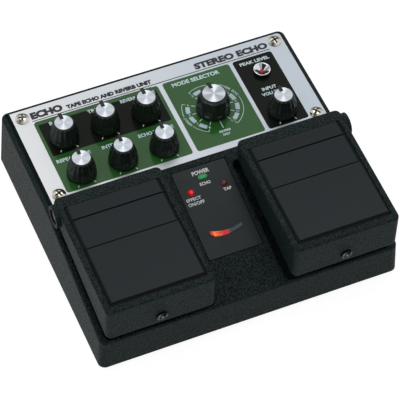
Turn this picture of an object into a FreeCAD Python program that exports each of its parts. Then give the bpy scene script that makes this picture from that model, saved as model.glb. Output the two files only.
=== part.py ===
"""Tape echo unit: a twin-pedal floor effects unit with a panel of dials.

Units are millimetres. X runs across the unit, Y from the pedals' front to the socket side, Z up.
The model's origin is on the floor, under the middle of the case. Every sub-part is drawn with z = 0
at the case's lower edge and is then lifted by the height of the feet.
"""
import FreeCAD
import Part
import os

import Sketcher

DRIVING_SIZES = [
    # the case, an aluminium casting open underneath
    ("case_width", 173.4), ("case_depth", 155.8), ("rear_height", 36.4), ("front_height", 19.8),
    ("kink_y", 3.6), ("wall_lean", 1.7), ("wall", 2.9), ("top_wall", 2.4), ("corner_round", 4.0),
    ("edge_round", 1.3), ("foot_height", 3.0), ("foot_radius", 8.0), ("foot_inset", 19.5),
    # wells under the pedals, with the deck between them
    ("deck_half", 20.2), ("well_side_wall", 4.3), ("well_rear_y", -0.6), ("well_front_lip", 2.4),
    ("well_depth", 8.0), ("well_round", 3.0),
    # control panel and its dials
    ("panel_margin", 4.3), ("panel_front_y", 7.0), ("panel_rear_inset", 3.7), ("panel_thick", 1.2),
    ("panel_gap", 0.15), ("panel_ledge", 2.8), ("panel_side_ledge", 11.2), ("screw_inset", 10.9),
    ("screw_rear_inset", 6.8), ("screw_front_y", 10.8), ("screw_shank", 1.2), ("screw_head", 3.8),
    ("screw_head_tall", 1.7), ("screw_length", 7.0), ("dial_inset", 24.2), ("dial_pitch_x", 24.1),
    ("dial_row_y", 21.0), ("dial_pitch_y", 26.3), ("mode_shift", 0.15), ("mode_y", 36.0),
    ("input_inset", 21.9), ("peak_inset", 21.0), ("peak_y", 50.8),
    ("shaft_radius", 3.0), ("bushing_radius", 3.95), ("bushing_tall", 2.6), ("nut_tall", 1.8),
    ("nut_across", 10.0), ("pot_width", 11.5), ("pot_deep", 12.5), ("pot_tall", 6.3),
    ("mode_body_radius", 12.5), ("board_thick", 1.6), ("knob_lift", 0.4), ("knob_tall", 12.5),
    ("knob_radius", 8.4), ("knob_shoulder", 6.3), ("disc_radius", 5.0), ("mode_knob_tall", 12.7),
    ("mode_knob_radius", 9.6), ("mode_knob_shoulder", 7.9), ("mode_disc_radius", 6.3),
    ("disc_thick", 0.6), ("flute_count", 16), ("mode_flute_count", 8), ("flute_depth", 0.45),
    ("pointer_width", 2.0), ("pointer_reach", 2.4), ("pointer_nose", 1.7),
    ("bezel_radius", 4.7), ("bezel_foot", 3.0), ("bezel_tall", 2.6), ("bezel_lip", 0.35),
    ("led_radius", 1.5), ("led_dome", 0.9),
    # indicator plate on the deck
    ("plate_width", 31.0), ("plate_length", 54.6), ("plate_start", 1.2), ("plate_x", 1.8),
    ("plate_thick", 1.0), ("plate_gap", 0.4), ("window_inset", 2.2), ("lamp_radius", 1.75),
    ("power_v", -8.1), ("lamp_v", -15.3), ("lamp_reach", 9.6), ("arc_v", -43.2), ("arc_half", 9.3),
    ("arc_sag", 1.9), ("arc_wide", 3.2), ("arc_narrow", 1.8),
    # pedals
    ("pedal_inner_gap", 2.0), ("pedal_outer_gap", 3.5), ("pedal_rear_y", -2.6), ("pedal_overhang", 1.1),
    ("pedal_rear_top", 52.6), ("pedal_front_top", 49.4), ("pedal_rear_low", 41.8),
    ("pedal_front_low", 27.2), ("pedal_wall", 2.5), ("pedal_top_wall", 2.0), ("pad_recess", 1.2),
    ("recess_margin", 3.4), ("recess_rear_y", -8.7), ("recess_front_inset", 3.8), ("pad_gap", 0.3),
    ("pad_sheet", 0.8), ("strip_margin", 2.1), ("strip_rise", 0.5), ("block_margin", 1.5),
    ("block_rise", 2.1), ("groove_rear_y", -18.2), ("groove_front_y", -38.2), ("groove_width", 0.7),
    ("block_front_inset", 1.8), ("pedal_round", 3.2), ("pedal_edge", 1.5),
    # pedal pivots, springs, switches and front screws
    ("pivot_y", -8.0), ("pivot_z", 46.3), ("pivot_pin", 1.5), ("pivot_slack", 0.06),
    ("post_thick", 4.0), ("post_round", 2.5), ("post_foot", 8.0), ("side_slack", 0.35),
    ("boss_radius", 6.3), ("boss_proud", 2.4), ("dish_radius", 4.4), ("dish_depth", 1.9),
    ("pin_head", 3.0), ("pin_head_tall", 0.9), ("seat_slack", 0.2),
    ("spring_y", -28.0), ("spring_radius", 4.4), ("spring_wire", 0.9),
    ("spring_turns", 4.5), ("spigot_radius", 3.3), ("spigot_tall", 3.0), ("switch_y", -50.0),
    ("switch_seat", 19.0), ("switch_width", 12.0), ("switch_tall", 6.0), ("collar_tall", 2.2),
    ("collar_radius", 3.4), ("plunger_radius", 2.0), ("plunger_top", 31.7), ("cap_thick", 1.4),
    ("touch_gap", 0.3), ("front_screw_z", 32.7), ("front_screw_head", 3.2), ("front_head_tall", 1.8),
    ("front_shank", 1.9), ("lug_thick", 3.0), ("lug_width", 12.0), ("lug_back", 4.9), ("lug_margin", 3.0),
    ("pedal_drop", 4.4),
    # sockets along the back
    ("jack_first_inset", 43.4), ("jack_z", 15.0), ("jack_bore", 3.25),
    ("jack_nose", 4.7), ("jack_width", 15.0), ("jack_deep", 24.0), ("jack_tall", 14.0),
    ("jack_proud", 3.3), ("jack_nut_across", 14.0), ("jack_nut_tall", 2.0), ("inlet_inset", 21.2),
    ("inlet_nose", 5.4), ("inlet_bore", 2.75), ("inlet_pin", 1.0), ("inlet_width", 9.5),
    ("inlet_deep", 13.0), ("inlet_tall", 11.0), ("jack_board_deep", 28.0),
    ("board_inset", 12.0), ("board_tab_inset", 35.8),
    # base plate, battery box and cells
    ("base_thick", 1.5), ("base_gap", 0.25), ("base_screw_inset", 10.5), ("boss_round", 3.6),
    ("box_end_room", 1.5), ("box_front_y", -26.0), ("box_rear_y", 24.0), ("box_wall", 1.6),
    ("box_tall", 18.4), ("box_flange", 3.0), ("door_gap", 0.3), ("door_thick", 1.5), ("door_low", 0.2),
    ("hinge_pin", 0.7), ("hinge_slack", 0.06), ("cell_radius", 7.1), ("cell_length", 50.0),
    ("cell_pitch", 15.0), ("cell_end_gap", 0.4), ("hole_slack", 0.1),
]
# Sizes that follow from the driving ones, each with the formula that the sheet works out.
FOLLOWING_SIZES = [
    ("panel_width", "case_width - 2 * panel_margin"),
    ("panel_rear_y", "case_depth / 2 - panel_rear_inset"),
    ("screw_rear_y", "panel_rear_y - screw_rear_inset"),
    ("base_screw_y", "case_depth / 2 - base_screw_inset"),
    ("screw_x", "case_width / 2 - screw_inset"),
    ("dial_column_x", "dial_inset - panel_width / 2"),
    ("input_x", "panel_width / 2 - input_inset"),
    ("peak_x", "panel_width / 2 - peak_inset"),
    ("mode_x", "(dial_column_x + 2 * dial_pitch_x + input_x) / 2 + mode_shift"),
    ("well_outer_x", "case_width / 2 - well_side_wall"),
    ("pedal_width", "case_width / 2 - deck_half - pedal_inner_gap - pedal_outer_gap"),
    ("pedal_x", "deck_half + pedal_inner_gap + pedal_width / 2"),
    ("pedal_front_y", "-case_depth / 2 - pedal_overhang"),
    ("recess_front_y", "pedal_front_y + recess_front_inset"),
    ("block_front_y", "recess_front_y + block_front_inset"),
    ("recess_half", "pedal_width / 2 - recess_margin"),
    ("strip_half", "recess_half - strip_margin"),
    ("block_half", "recess_half - block_margin"),
    ("jack_first_x", "jack_first_inset - case_width / 2"),
    ("jack_pitch", "(case_width - jack_first_inset) / 5"),
    ("inlet_x", "inlet_inset - case_width / 2"),
    ("jack_reach", "case_depth / 2 + jack_proud"),
    ("jack_board_front", "case_depth / 2 - wall - jack_board_deep"),
    ("box_half_x", "cell_length + cell_end_gap + box_end_room + box_wall"),
]

os.makedirs("parts", exist_ok=True)
document = FreeCAD.newDocument("tape_echo_unit")
sheet = document.addObject("Spreadsheet::Sheet", "size")
cells = [(alias, str(value)) for alias, value in DRIVING_SIZES]
cells += [(alias, "=" + formula) for alias, formula in FOLLOWING_SIZES]
for row, (alias, content) in enumerate(cells, start=1):
    sheet.set("A%d" % row, alias)
    sheet.set("B%d" % row, content)
    sheet.setAlias("B%d" % row, alias)
document.recompute()

# Formulas that several sub-parts share; each is text that the document's expressions read.
SLOPE = "((size.rear_height - size.front_height) / (size.kink_y + size.case_depth / 2))"
SLOPE_ANGLE = "atan%s" % SLOPE
CASE_REAR = "(size.case_depth / 2)"
INNER_X = "(size.case_width / 2 - size.wall)"
INNER_Y = "(size.case_depth / 2 - size.wall)"
PANEL_UNDER = "(size.rear_height - size.panel_thick)"
CEILING = "(size.rear_height - size.panel_thick - size.top_wall)"
WELL_FRONT = "(-size.case_depth / 2 + size.well_front_lip)"
PEDAL_FALL = "((size.pedal_rear_top - size.pedal_front_top) / (size.pedal_rear_y - size.pedal_front_y))"
POST_OUTER = "(size.pedal_width / 2 - size.pedal_wall - size.side_slack)"
BOARD_TOP = "(size.rear_height - size.panel_thick - size.pot_tall)"
JACK_BOARD_TOP = "(size.jack_z - size.jack_tall / 2)"
SCREW_HOLE = "(size.screw_shank + size.hole_slack / 2)"
HINGE_Y = "(size.box_rear_y - size.box_wall - size.door_gap - size.door_thick / 2)"
HINGE_Z = "(size.door_low + size.door_thick / 2)"
DIALS = [
    ("bass", "size.dial_column_x", "size.dial_row_y + size.dial_pitch_y"),
    ("treble", "size.dial_column_x + size.dial_pitch_x", "size.dial_row_y + size.dial_pitch_y"),
    ("reverb_volume", "size.dial_column_x + 2 * size.dial_pitch_x", "size.dial_row_y + size.dial_pitch_y"),
    ("repeat_rate", "size.dial_column_x", "size.dial_row_y"),
    ("intensity", "size.dial_column_x + size.dial_pitch_x", "size.dial_row_y"),
    ("echo_volume", "size.dial_column_x + 2 * size.dial_pitch_x", "size.dial_row_y"),
    ("input_volume", "size.input_x", "size.dial_row_y"),
]
MODE_DIAL = ("mode_selector", "size.mode_x", "size.mode_y")
SIDES = [("left", -1), ("right", 1)]
CORNERS = [(-1, -1), (1, -1), (-1, 1), (1, 1)]
sub_parts = []


def deck_height(y):
    """Formula for the height of the sloping case top at depth y."""
    return "(size.rear_height - (size.kink_y - (%s)) * %s)" % (y, SLOPE)


def well_floor(y):
    """Formula for the height of the floor of a pedal's well at depth y."""
    return "(%s - size.well_depth)" % deck_height(y)


def pedal_top(y):
    """Formula for the height of a pedal's top at depth y."""
    return "(size.pedal_rear_top - (size.pedal_rear_y - (%s)) * %s)" % (y, PEDAL_FALL)


def pedal_ceiling(y):
    """Formula for the height of the underside of a pedal's top at depth y."""
    return "(%s - size.pad_recess - size.pedal_top_wall)" % pedal_top(y)


def number(item, formula):
    """The present value of a formula."""
    return float(item.evalExpression(formula))


def bound(item, formulas):
    """Bind properties of an object to formulas."""
    for path, formula in formulas.items():
        item.setExpression(path, formula)
    return item


def place(item, x="0", y="0", z="0"):
    """Stand a sub-part at a place in the case, lifted by the feet."""
    return bound(item, {
        "Placement.Base.x": x, "Placement.Base.y": y, "Placement.Base.z": "size.foot_height + %s" % z})


def keep(item, label):
    """Register a finished object as a sub-part to be written out."""
    item.Label = label
    sub_parts.append(item)
    return item


def new_body(label, x="0", y="0", z="0"):
    """A body of its own label, placed in the case and kept."""
    body = document.addObject("PartDesign::Body", label)
    place(body, x, y, z)
    return keep(body, label)


def master(label):
    """A body drawn about its own origin, to be repeated by links and not kept by itself."""
    return document.addObject("PartDesign::Body", label)


def on_deck(body, u="0", v="0"):
    """Turn and place a body so that its XY plane lies on the sloping deck."""
    body.Placement = FreeCAD.Placement(FreeCAD.Vector(), FreeCAD.Rotation(FreeCAD.Vector(1, 0, 0), 10))
    return bound(body, {
        "Placement.Rotation.Angle": SLOPE_ANGLE,
        "Placement.Base.x": u,
        "Placement.Base.y": "size.kink_y + (%s) * cos(%s)" % (v, SLOPE_ANGLE),
        "Placement.Base.z": "size.foot_height + size.rear_height + (%s) * sin(%s)" % (v, SLOPE_ANGLE)})


def new_sketch(body, name, plane, lift="0"):
    """An empty sketch on one of the body's own origin planes, lifted along its normal."""
    sketch = body.newObject("Sketcher::SketchObject", name)
    support = [item for item in body.Origin.OriginFeatures if item.Role == plane][0]
    sketch.AttachmentSupport = (support, [""])
    sketch.MapMode = "FlatFace"
    if lift != "0":
        sketch.setExpression("AttachmentOffset.Base.z", lift)
    return sketch


def tie(sketch, kind, places, formula, value):
    """Add one dimension to a sketch and bind it to a formula."""
    index = sketch.addConstraint(Sketcher.Constraint(kind, *places, value))
    sketch.setExpression("Constraints[%d]" % index, formula)


def add_loop(sketch, corners):
    """Draw a closed straight-sided outline whose corners are pairs of formulas."""
    first = sketch.GeometryCount
    points = [FreeCAD.Vector(number(sketch, a), number(sketch, b), 0) for a, b in corners]
    count = len(points)
    for index in range(count):
        sketch.addGeometry(Part.LineSegment(points[index], points[(index + 1) % count]), False)
    for index in range(count):
        sketch.addConstraint(
            Sketcher.Constraint("Coincident", first + index, 2, first + (index + 1) % count, 1))
    for index, (a, b) in enumerate(corners):
        tie(sketch, "DistanceX", (-1, 1, first + index, 1), a, points[index].x)
        tie(sketch, "DistanceY", (-1, 1, first + index, 1), b, points[index].y)
    return sketch


def outline(body, name, plane, corners, lift="0"):
    return add_loop(new_sketch(body, name, plane, lift), corners)


def box_corners(low_x, low_y, high_x, high_y):
    return [(low_x, low_y), (high_x, low_y), (high_x, high_y), (low_x, high_y)]


def centred(half_x, half_y, x="0", y="0"):
    """Corners of a rectangle about a centre."""
    return box_corners("%s - (%s)" % (x, half_x), "%s - (%s)" % (y, half_y),
                       "%s + (%s)" % (x, half_x), "%s + (%s)" % (y, half_y))


def add_circle(sketch, x, y, radius):
    """Draw a circle whose centre and radius are formulas."""
    centre = FreeCAD.Vector(number(sketch, x), number(sketch, y), 0)
    size_now = number(sketch, radius)
    index = sketch.addGeometry(Part.Circle(centre, FreeCAD.Vector(0, 0, 1), size_now), False)
    tie(sketch, "DistanceX", (-1, 1, index, 3), x, centre.x)
    tie(sketch, "DistanceY", (-1, 1, index, 3), y, centre.y)
    tie(sketch, "Radius", (index,), radius, size_now)
    return sketch


def circles(body, name, plane, places, radius, lift="0"):
    """A sketch of equal circles."""
    sketch = new_sketch(body, name, plane, lift)
    for x, y in places:
        add_circle(sketch, x, y, radius)
    return sketch


def feature(body, kind, name, sketch, settings, formulas):
    """A sketch-based feature with plain settings and bound sizes."""
    item = body.newObject("PartDesign::%s" % kind, name)
    item.Profile = sketch
    for key, value in settings.items():
        setattr(item, key, value)
    bound(item, formulas)
    sketch.Visibility = False
    return item


def pad(body, name, sketch, length, both=False, back=False, taper=None):
    formulas = {"Length": length}
    if taper:
        formulas["TaperAngle"] = taper
    return feature(body, "Pad", name, sketch, {"Midplane": both, "Reversed": back}, formulas)


def pocket(body, name, sketch, length, both=False, back=False):
    """Cut along the sketch's normal, away from it unless back is set."""
    return feature(body, "Pocket", name, sketch, {"Midplane": both, "Reversed": back}, {"Length": length})


def cut_up(body, name, sketch, length):
    """Cut from a sketch in the direction of its normal."""
    return pocket(body, name, sketch, length, back=True)


def turned(body, name, corners, kind="Revolution"):
    """Turn a profile of radius and height pairs about the body's Z axis."""
    sketch = outline(body, name + "_profile", "XZ_Plane", corners)
    return feature(body, kind, name, sketch, {"ReferenceAxis": (sketch, ["V_Axis"]), "Angle": 360.0}, {})


def edges_of(body, test):
    """Names of the edges of the body's present shape that pass a test."""
    document.recompute()
    shape = body.Tip.Shape
    return ["Edge%d" % (index + 1) for index, edge in enumerate(shape.Edges) if test(edge)]


def dress(body, kind, name, formula, test):
    """A fillet or chamfer on the edges that pass a test."""
    base = body.Tip
    names = edges_of(body, test)
    item = body.newObject("PartDesign::%s" % kind, name)
    item.Base = (base, names)
    item.setExpression("Radius" if kind == "Fillet" else "Size", formula)
    return item


def upright(edge):
    """True for a straight edge that runs mostly up and down."""
    low, high = edge.BoundBox.ZMin, edge.BoundBox.ZMax
    return high - low > 0.95 * edge.Length and high - low > 0.5


def linked(label, pattern, places):
    """One group sub-part: the pattern body repeated at placements given by formulas."""
    copies = []
    for index, formulas in enumerate(places):
        copy = document.addObject("App::Link", "%s_%d" % (label, index + 1))
        copy.LinkedObject = pattern
        if "Placement.Rotation.Angle" in formulas:
            copy.Placement = FreeCAD.Placement(
                FreeCAD.Vector(), FreeCAD.Rotation(FreeCAD.Vector(*formulas["axis"]), 90))
        bound(copy, {path: text for path, text in formulas.items() if path != "axis"})
        copies.append(copy)
    group = document.addObject("Part::Compound", label)
    group.Links = copies
    return keep(group, label)


def at(x, y, z, axis=None, angle="0"):
    """Formulas for a placement in the case, turned about an axis where one is given."""
    formulas = {
        "Placement.Base.x": x, "Placement.Base.y": y, "Placement.Base.z": "size.foot_height + %s" % z}
    if axis:
        formulas["axis"] = axis
        formulas["Placement.Rotation.Angle"] = angle
    return formulas


# ---------------------------------------------------------------- case and base

def case_blank(body):
    """The leaning outer walls, the sloping front part of the top and the rounded corners."""
    foot_print = outline(body, "foot_print", "XY_Plane", centred("size.case_width / 2", CASE_REAR))
    pad(body, "walls", foot_print, "size.rear_height", taper="-atan(size.wall_lean / size.rear_height)")
    dress(body, "Fillet", "corner_rounds", "size.corner_round", upright)
    ahead = "(-size.case_depth / 2 - 5)"
    above = "(size.rear_height + 5)"
    wedge = outline(body, "wedge", "YZ_Plane", [
        ("size.kink_y", "size.rear_height"), (ahead, deck_height(ahead)), (ahead, above),
        ("size.kink_y", above)])
    pocket(body, "sloping_top", wedge, "size.case_width + 10", both=True)
    kink = number(body, "size.kink_y")
    low = number(body, "size.front_height - size.top_wall")

    def top_rim(edge):
        box = edge.BoundBox
        on_kink = abs(box.YMin - kink) < 0.01 and abs(box.YMax - kink) < 0.01
        return box.ZMin > low and not on_kink

    dress(body, "Fillet", "rim_rounds", "size.edge_round", top_rim)


def case_hollow(body):
    """The space inside, from below: under the panel, under the wells and under the deck."""
    well_back = "(size.well_rear_y + size.wall)"
    under_floor = "%s - size.wall"
    hollow = outline(body, "hollow", "YZ_Plane", [
        (INNER_Y, "0"), (INNER_Y, CEILING), (well_back, CEILING),
        (well_back, under_floor % well_floor(well_back)),
        ("-" + INNER_Y, under_floor % well_floor("-" + INNER_Y)),
        ("-" + INNER_Y, "0")])
    pocket(body, "main_space", hollow, "2 * %s" % INNER_X, both=True)
    deck = outline(body, "deck_space", "YZ_Plane", [
        (well_back, "1"), (well_back, "%s - size.top_wall" % deck_height(well_back)),
        ("-" + INNER_Y, "%s - size.top_wall" % deck_height("-" + INNER_Y)), ("-" + INNER_Y, "1")])
    pocket(body, "under_deck", deck, "2 * (size.deck_half - size.wall)", both=True)


def case_wells(body):
    """A well under each pedal, cut parallel to the sloping top."""
    over = "(size.rear_height + 5)"
    for side, sign in SIDES:
        middle = "%d * (size.deck_half + size.well_outer_x) / 2" % sign
        well = outline(body, side + "_well", "YZ_Plane", [
            ("size.well_rear_y", well_floor("size.well_rear_y")), (WELL_FRONT, well_floor(WELL_FRONT)),
            (WELL_FRONT, over), ("size.well_rear_y", over)], lift=middle)
        pocket(body, side + "_well_cut", well, "size.well_outer_x - size.deck_half", both=True)
    inner = number(body, "size.deck_half")
    outer = number(body, "size.well_outer_x")

    def well_corner(edge):
        x = abs(edge.BoundBox.Center.x)
        at_side = min(abs(x - inner), abs(x - outer)) < 0.05
        return upright(edge) and at_side and edge.BoundBox.Center.y < 1

    dress(body, "Fillet", "well_rounds", "size.well_round", well_corner)


def case_posts(body):
    """Pivot posts, spring seats, switch seats and slotted front lugs that stand in the wells."""
    foot_y = "size.post_foot / 2"
    for side, sign in SIDES:
        for end, way in (("outer", 1), ("inner", -1)):
            face = "%d * size.pedal_x + %d * (%s - size.post_thick / 2)" % (sign, sign * way, POST_OUTER)
            base_z = "%s - 0.5" % well_floor("size.pivot_y - size.post_foot / 2")
            name = "%s_%s" % (side, end)
            post = outline(body, name + "_post", "YZ_Plane", [
                ("size.pivot_y - " + foot_y, base_z), ("size.pivot_y + " + foot_y, base_z),
                ("size.pivot_y + size.post_round", "size.pivot_z"),
                ("size.pivot_y - size.post_round", "size.pivot_z")], lift=face)
            pad(body, name + "_upright", post, "size.post_thick", both=True)
            eye = circles(body, name + "_eye", "YZ_Plane", [("size.pivot_y", "size.pivot_z")],
                          "size.post_round", lift=face)
            pad(body, name + "_eye_round", eye, "size.post_thick", both=True)
            bore = circles(body, name + "_bore", "YZ_Plane", [("size.pivot_y", "size.pivot_z")],
                           "size.pivot_pin + size.hole_slack / 2", lift=face)
            pocket(body, name + "_bore_cut", bore, "size.post_thick + 1", both=True)
    middles = [("%d * size.pedal_x" % sign) for _, sign in SIDES]
    seat_z = "(%s - 0.5)" % well_floor("size.spring_y - 6")
    seats = circles(body, "spring_seats", "XY_Plane", [(x, "size.spring_y") for x in middles],
                    "size.spring_radius + 1.6", lift=seat_z)
    pad(body, "spring_seat_rounds", seats, "%s + 1 - %s" % (well_floor("size.spring_y"), seat_z))
    spigots = circles(body, "spring_spigots", "XY_Plane", [(x, "size.spring_y") for x in middles],
                      "size.spigot_radius", lift=seat_z)
    pad(body, "spigot_rounds", spigots,
        "%s + 1 - %s + size.spigot_tall" % (well_floor("size.spring_y"), seat_z))
    switch_base = "(%s - 0.5)" % well_floor("size.switch_y - size.switch_width / 2")
    stands = new_sketch(body, "switch_seats", "XY_Plane", lift=switch_base)
    half_stand = "size.switch_width / 2 + 1"
    for x in middles:
        add_loop(stands, centred(half_stand, half_stand, x, "size.switch_y"))
    pad(body, "switch_seat_blocks", stands, "size.switch_seat - %s" % switch_base)
    lug_y = "(size.pedal_front_y + size.lug_back + size.lug_thick)"
    lug_low = "(%s - 0.5)" % well_floor(lug_y)
    lug_top = "(size.front_screw_z + size.front_shank + size.lug_margin)"
    half = "size.lug_width / 2"
    lugs = new_sketch(body, "front_lugs", "XZ_Plane", lift="-%s" % lug_y)
    for x in middles:
        add_loop(lugs, box_corners("%s - %s" % (x, half), lug_low, "%s + %s" % (x, half), lug_top))
    pad(body, "front_lug_plates", lugs, "size.lug_thick")
    slots = new_sketch(body, "lug_slots", "XZ_Plane", lift="-%s - 1" % lug_y)
    width = "(size.front_shank + size.touch_gap)"
    slot_low = "size.front_screw_z - size.pedal_drop - %s" % width
    for x in middles:
        add_loop(slots, box_corners("%s - %s" % (x, width), slot_low,
                                    "%s + %s" % (x, width), "size.front_screw_z + %s" % width))
    pocket(body, "lug_slot_cuts", slots, "size.lug_thick + 2", back=True)


def case_panel_seat(body):
    """Recess and window under the control panel, and the same under the indicator plate."""
    middle_y = "(size.panel_front_y + size.panel_rear_y) / 2"
    seat = outline(body, "panel_seat", "XY_Plane", centred(
        "size.panel_width / 2 + size.panel_gap",
        "(size.panel_rear_y - size.panel_front_y) / 2 + size.panel_gap", "0", middle_y), lift=PANEL_UNDER)
    cut_up(body, "panel_recess", seat, "size.panel_thick + 1")
    opening = outline(body, "panel_window", "XY_Plane", box_corners(
        "-size.panel_width / 2 + size.panel_side_ledge", "size.panel_front_y + size.panel_ledge",
        "size.panel_width / 2 - size.panel_side_ledge", "size.panel_rear_y - size.panel_ledge"),
        lift=PANEL_UNDER)
    pocket(body, "panel_window_cut", opening, "size.top_wall + 1")
    frame = new_sketch(body, "plate_seat", "XY_Plane")
    tilt_sketch(frame, "-size.plate_thick")
    add_loop(frame, plate_corners("size.plate_gap"))
    cut_up(body, "plate_recess", frame, "size.plate_thick + 2")
    window = new_sketch(body, "deck_window", "XY_Plane")
    tilt_sketch(window, "-size.plate_thick")
    add_loop(window, plate_corners("-size.window_inset"))
    pocket(body, "deck_window_cut", window, "size.top_wall + 1.5")


def tilt_sketch(sketch, lift):
    """Lay an XY sketch on the sloping deck, lifted along the deck's normal."""
    sketch.AttachmentOffset = FreeCAD.Placement(
        FreeCAD.Vector(), FreeCAD.Rotation(FreeCAD.Vector(1, 0, 0), 10))
    bound(sketch, {
        "AttachmentOffset.Rotation.Angle": SLOPE_ANGLE,
        "AttachmentOffset.Base.y": "size.kink_y - (%s) * sin(%s)" % (lift, SLOPE_ANGLE),
        "AttachmentOffset.Base.z": "size.rear_height + (%s) * cos(%s)" % (lift, SLOPE_ANGLE)})


def plate_corners(grow):
    """Corners of the indicator plate in the deck's plane, grown by a margin."""
    return box_corners("size.plate_x - size.plate_width / 2 - (%s)" % grow,
                       "-size.plate_start - size.plate_length - (%s)" % grow,
                       "size.plate_x + size.plate_width / 2 + (%s)" % grow,
                       "-size.plate_start + (%s)" % grow)


def case_bosses(body):
    """Screw bosses between the base plate and the top, and the socket holes in the back wall."""
    rear = both_sides("size.screw_rear_y")
    middle = both_sides("size.screw_front_y")
    front = both_sides("-size.base_screw_y")
    tall = circles(body, "rear_bosses", "XY_Plane", rear, "size.boss_round", lift="size.base_thick")
    pad(body, "rear_boss_rounds", tall, "%s + size.top_wall / 2 - size.base_thick" % CEILING)
    low = circles(body, "front_bosses", "XY_Plane", front, "size.boss_round", lift="size.base_thick")
    pad(body, "front_boss_rounds", low,
        "%s - size.wall / 2 - size.base_thick" % well_floor("-size.base_screw_y"))
    short = circles(body, "middle_bosses", "XY_Plane", middle, "size.boss_round",
                    lift="%s + size.top_wall / 2" % CEILING)
    pad(body, "middle_boss_rounds", short, "size.screw_length", back=True)
    through = circles(body, "rear_screw_holes", "XY_Plane", rear, SCREW_HOLE, lift="size.base_thick - 1")
    cut_up(body, "rear_screw_holes_cut", through, "size.rear_height")
    drilled = circles(body, "front_screw_holes", "XY_Plane", front, SCREW_HOLE, lift="size.base_thick - 1")
    cut_up(body, "front_screw_holes_cut", drilled, "size.screw_length + 1.5")
    tapped = circles(body, "middle_screw_holes", "XY_Plane", middle, SCREW_HOLE, lift=PANEL_UNDER)
    pocket(body, "middle_screw_holes_cut", tapped, "size.screw_length")
    noses = circles(body, "jack_holes", "XZ_Plane", jack_places(), "size.jack_nose + size.hole_slack",
                    lift="-%s - 1" % CASE_REAR)
    add_circle(noses, "size.inlet_x", "size.jack_z", "size.inlet_nose + size.hole_slack")
    pocket(body, "jack_holes_cut", noses, "size.wall + 3", back=True)


def both_sides(y):
    """A pair of screw places, left and right."""
    return [("%d * size.screw_x" % sign, y) for _, sign in SIDES]


def jack_places():
    return [("size.jack_first_x + %d * size.jack_pitch" % index, "size.jack_z") for index in range(5)]


def case_shell():
    body = new_body("case_shell")
    case_blank(body)
    case_hollow(body)
    case_wells(body)
    case_posts(body)
    case_panel_seat(body)
    case_bosses(body)


def base_plate():
    """Steel plate that closes the case from below, with the battery opening and board tabs."""
    body = new_body("base_plate")
    sketch = outline(body, "sheet_outline", "XY_Plane", centred(
        INNER_X + " - size.base_gap", INNER_Y + " - size.base_gap"))
    pad(body, "sheet", sketch, "size.base_thick")
    tabs = new_sketch(body, "board_tabs", "XY_Plane", lift="size.base_thick")
    for x, y in tab_places():
        add_loop(tabs, centred("3", "size.base_thick / 2", x, y))
    pad(body, "board_tabs_bent_up", tabs, "%s - size.board_thick - size.base_thick" % JACK_BOARD_TOP)
    opening = outline(body, "battery_opening", "XY_Plane", box_corners(
        "-size.box_half_x - size.base_gap", "size.box_front_y - size.base_gap",
        "size.box_half_x + size.base_gap", "size.box_rear_y + size.base_gap"))
    cut_up(body, "battery_opening_cut", opening, "size.base_thick + 1")
    holes = circles(body, "screw_holes", "XY_Plane", base_screw_places(), "size.screw_shank + 0.4")
    cut_up(body, "screw_holes_cut", holes, "size.base_thick + 1")
    outer = number(body, INNER_Y + " - 2 * size.base_gap")
    dress(body, "Chamfer", "sheet_corners", "2.0",
          lambda edge: upright(edge) and abs(edge.BoundBox.Center.y) > outer)


def tab_places():
    """Places of the bent-up tabs that carry the socket board."""
    return [("%d * (%s - size.board_tab_inset)" % (sign, INNER_X), y) for _, sign in SIDES
            for y in ("size.jack_board_front + 2", "%s - 3" % INNER_Y)]


def base_screw_places():
    return both_sides("size.screw_rear_y") + both_sides("-size.base_screw_y")


def screw_master(label, head_radius, head_tall, length, crown):
    """A screw along Z, its head's underside at z = 0; crown is the share of the head that tapers."""
    body = master(label)
    corners = [
        ("0", "-(%s)" % length), ("size.screw_shank", "-(%s)" % length), ("size.screw_shank", "0"),
        (head_radius, "0")]
    if crown:
        corners += [(head_radius, "0.45 * " + head_tall), ("0.66 * " + head_radius, head_tall)]
    else:
        corners += [(head_radius, head_tall)]
    turned(body, label + "_turned", corners + [("0", head_tall)])
    return body


def screws_and_feet():
    panel_master = screw_master("panel_screw", "size.screw_head", "size.screw_head_tall",
                                "size.screw_length - 1", True)
    linked("panel_screws", panel_master, [
        at(x, y, "size.rear_height")
        for x, y in both_sides("size.screw_rear_y") + both_sides("size.screw_front_y")])
    base_master = screw_master("base_screw", "0.75 * size.screw_head", "0.9 * size.screw_head_tall",
                               "size.screw_length", False)
    linked("base_screws", base_master, [
        at(x, y, "0", axis=(1, 0, 0), angle="180") for x, y in base_screw_places()])
    foot = master("foot")
    turned(foot, "foot_turned", [
        ("0", "-size.foot_height"), ("size.foot_radius - 1", "-size.foot_height"),
        ("size.foot_radius", "0"), ("0", "0")])
    linked("rubber_feet", foot, [
        at("%d * (size.case_width / 2 - size.foot_inset)" % a,
           "%d * (size.case_depth / 2 - size.foot_inset)" % b, "0") for a, b in CORNERS])


# ---------------------------------------------------------------- panels and lamps

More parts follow.
